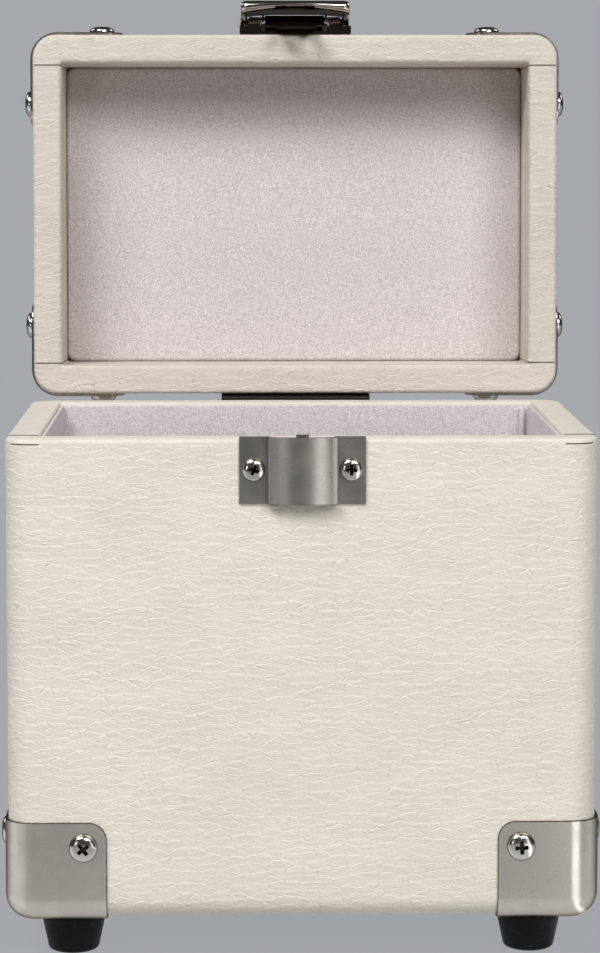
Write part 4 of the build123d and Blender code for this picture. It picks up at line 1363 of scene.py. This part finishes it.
def make_backdrop(stage):
    """Floor that sweeps up behind the case."""
    half, front, back, radius, top = 2.5, -0.8, 1.1, 0.5, 1.2
    line = [(front, 0.0), (back - radius, 0.0)]
    for angle in arc_steps(10)[1:]:
        line.append((back - radius * (1 - sin(angle)), radius * (1 - cos(angle))))
    line.append((back, top))
    bm = bmesh.new()
    rows = [[bm.verts.new((side * half, y, z)) for side in (-1, 1)] for y, z in line]
    for lower, upper in zip(rows, rows[1:]):
        bm.faces.new((lower[0], lower[1], upper[1], upper[0]))
    sweep = settle(bm, "backdrop", backdrop_finish(stage), 60.0)


def make_world(stage):
    """Dim even room light, seen in the metal as a darker room."""
    world = bpy.data.worlds.new("studio")
    bpy.context.scene.world = world
    world.use_nodes = True
    w = Wiring(world.node_tree)
    back = world.node_tree.nodes["Background"]
    back.inputs["Color"].default_value = opaque(stage.backdrop)
    rays = w.add("ShaderNodeLightPath").outputs
    room, to_camera, to_metal = 0.04, 0.96, 0.11
    seen = w.plus(room, w.times(rays["Is Camera Ray"], to_camera))
    w.feed(back.inputs["Strength"], w.plus(seen, w.times(rays["Is Glossy Ray"], to_metal)))


def make_camera(stage):
    """The camera, its lens shifted so that the case's sides stay upright."""
    camera = bpy.data.cameras.new("camera")
    camera.sensor_width = 36.0
    camera.lens = stage.lens
    camera.shift_y = stage.rise
    camera.clip_start = 0.05
    holder = bpy.data.objects.new("camera", camera)
    holder.location = stage.camera
    holder.rotation_euler = (pi / 2 - stage.pitch, 0, stage.turn)
    bpy.context.scene.collection.objects.link(holder)
    bpy.context.scene.camera = holder


class MakeStage(bpy.types.Operator):
    """Set up the backdrop, the lamps and the camera"""

    bl_idname = "record_case.make_stage"
    bl_label = "Stage"

    def execute(self, context):
        stage = context.scene.case_stage
        context.scene.view_settings.view_transform = "Standard"
        make_backdrop(stage)
        make_world(stage)
        make_camera(stage)
        area_lamp("left_key", (-0.9, -1.4, 1.95), (1.2, 0.8), 41.0)
        area_lamp("right_key", (0.9, -1.75, 1.6), (0.9, 0.9), 22.0)
        area_lamp("top_strip", (0.3, -2.1, 1.45), (0.2, 1.0), 4.0)
        area_lamp("right_strip", (0.72, -1.25, 0.2), (0.35, 0.6), 1.0)
        area_lamp("left_strip", (-0.8, -1.4, 0.3), (0.2, 0.4), 0.8)
        area_lamp("left_rear", (-1.5, 0.75, 1.3), (0.8, 0.8), 6.0)
        area_lamp("right_rear", (1.5, 0.75, 1.3), (0.8, 0.8), 6.0)
        return {"FINISHED"}


class RecordCasePanel(bpy.types.Panel):
    """Everything the case is made with, in the order that it is made"""

    bl_idname = "VIEW3D_PT_record_case"
    bl_label = "Record case"
    bl_space_type = "VIEW_3D"
    bl_region_type = "UI"
    bl_category = "Record Case"

    def draw(self, context):
        for group in (context.scene.case_shape, context.scene.case_finish, context.scene.case_stage):
            for key in group.__annotations__:
                self.layout.prop(group, key)
        for step in STEPS:
            self.layout.operator(step.bl_idname)


GROUPED = (CaseShape, CaseFinish, CaseStage)
STEPS = (MakeCovering, MakeLining, MakeBoards, MakeCorners, MakeKeeperAndHinge, MakeLatchAndHandle,
         MakeScrews, MakeFeet, MakeGrip, MakeStage)


def register():
    """Add the settings, the steps and the panel."""
    for kind in (*GROUPED, *STEPS, RecordCasePanel):
        bpy.utils.register_class(kind)
    bpy.types.Scene.case_shape = PointerProperty(type=CaseShape)
    bpy.types.Scene.case_finish = PointerProperty(type=CaseFinish)
    bpy.types.Scene.case_stage = PointerProperty(type=CaseStage)


def unregister():
    """Take them out again."""
    del bpy.types.Scene.case_stage, bpy.types.Scene.case_finish, bpy.types.Scene.case_shape
    for kind in reversed((*GROUPED, *STEPS, RecordCasePanel)):
        bpy.utils.unregister_class(kind)


def main():
    """Make the whole case."""
    register()
    for step in STEPS:
        area, name = step.bl_idname.split(".")
        getattr(getattr(bpy.ops, area), name)()


if __name__ == "__main__":
    main()
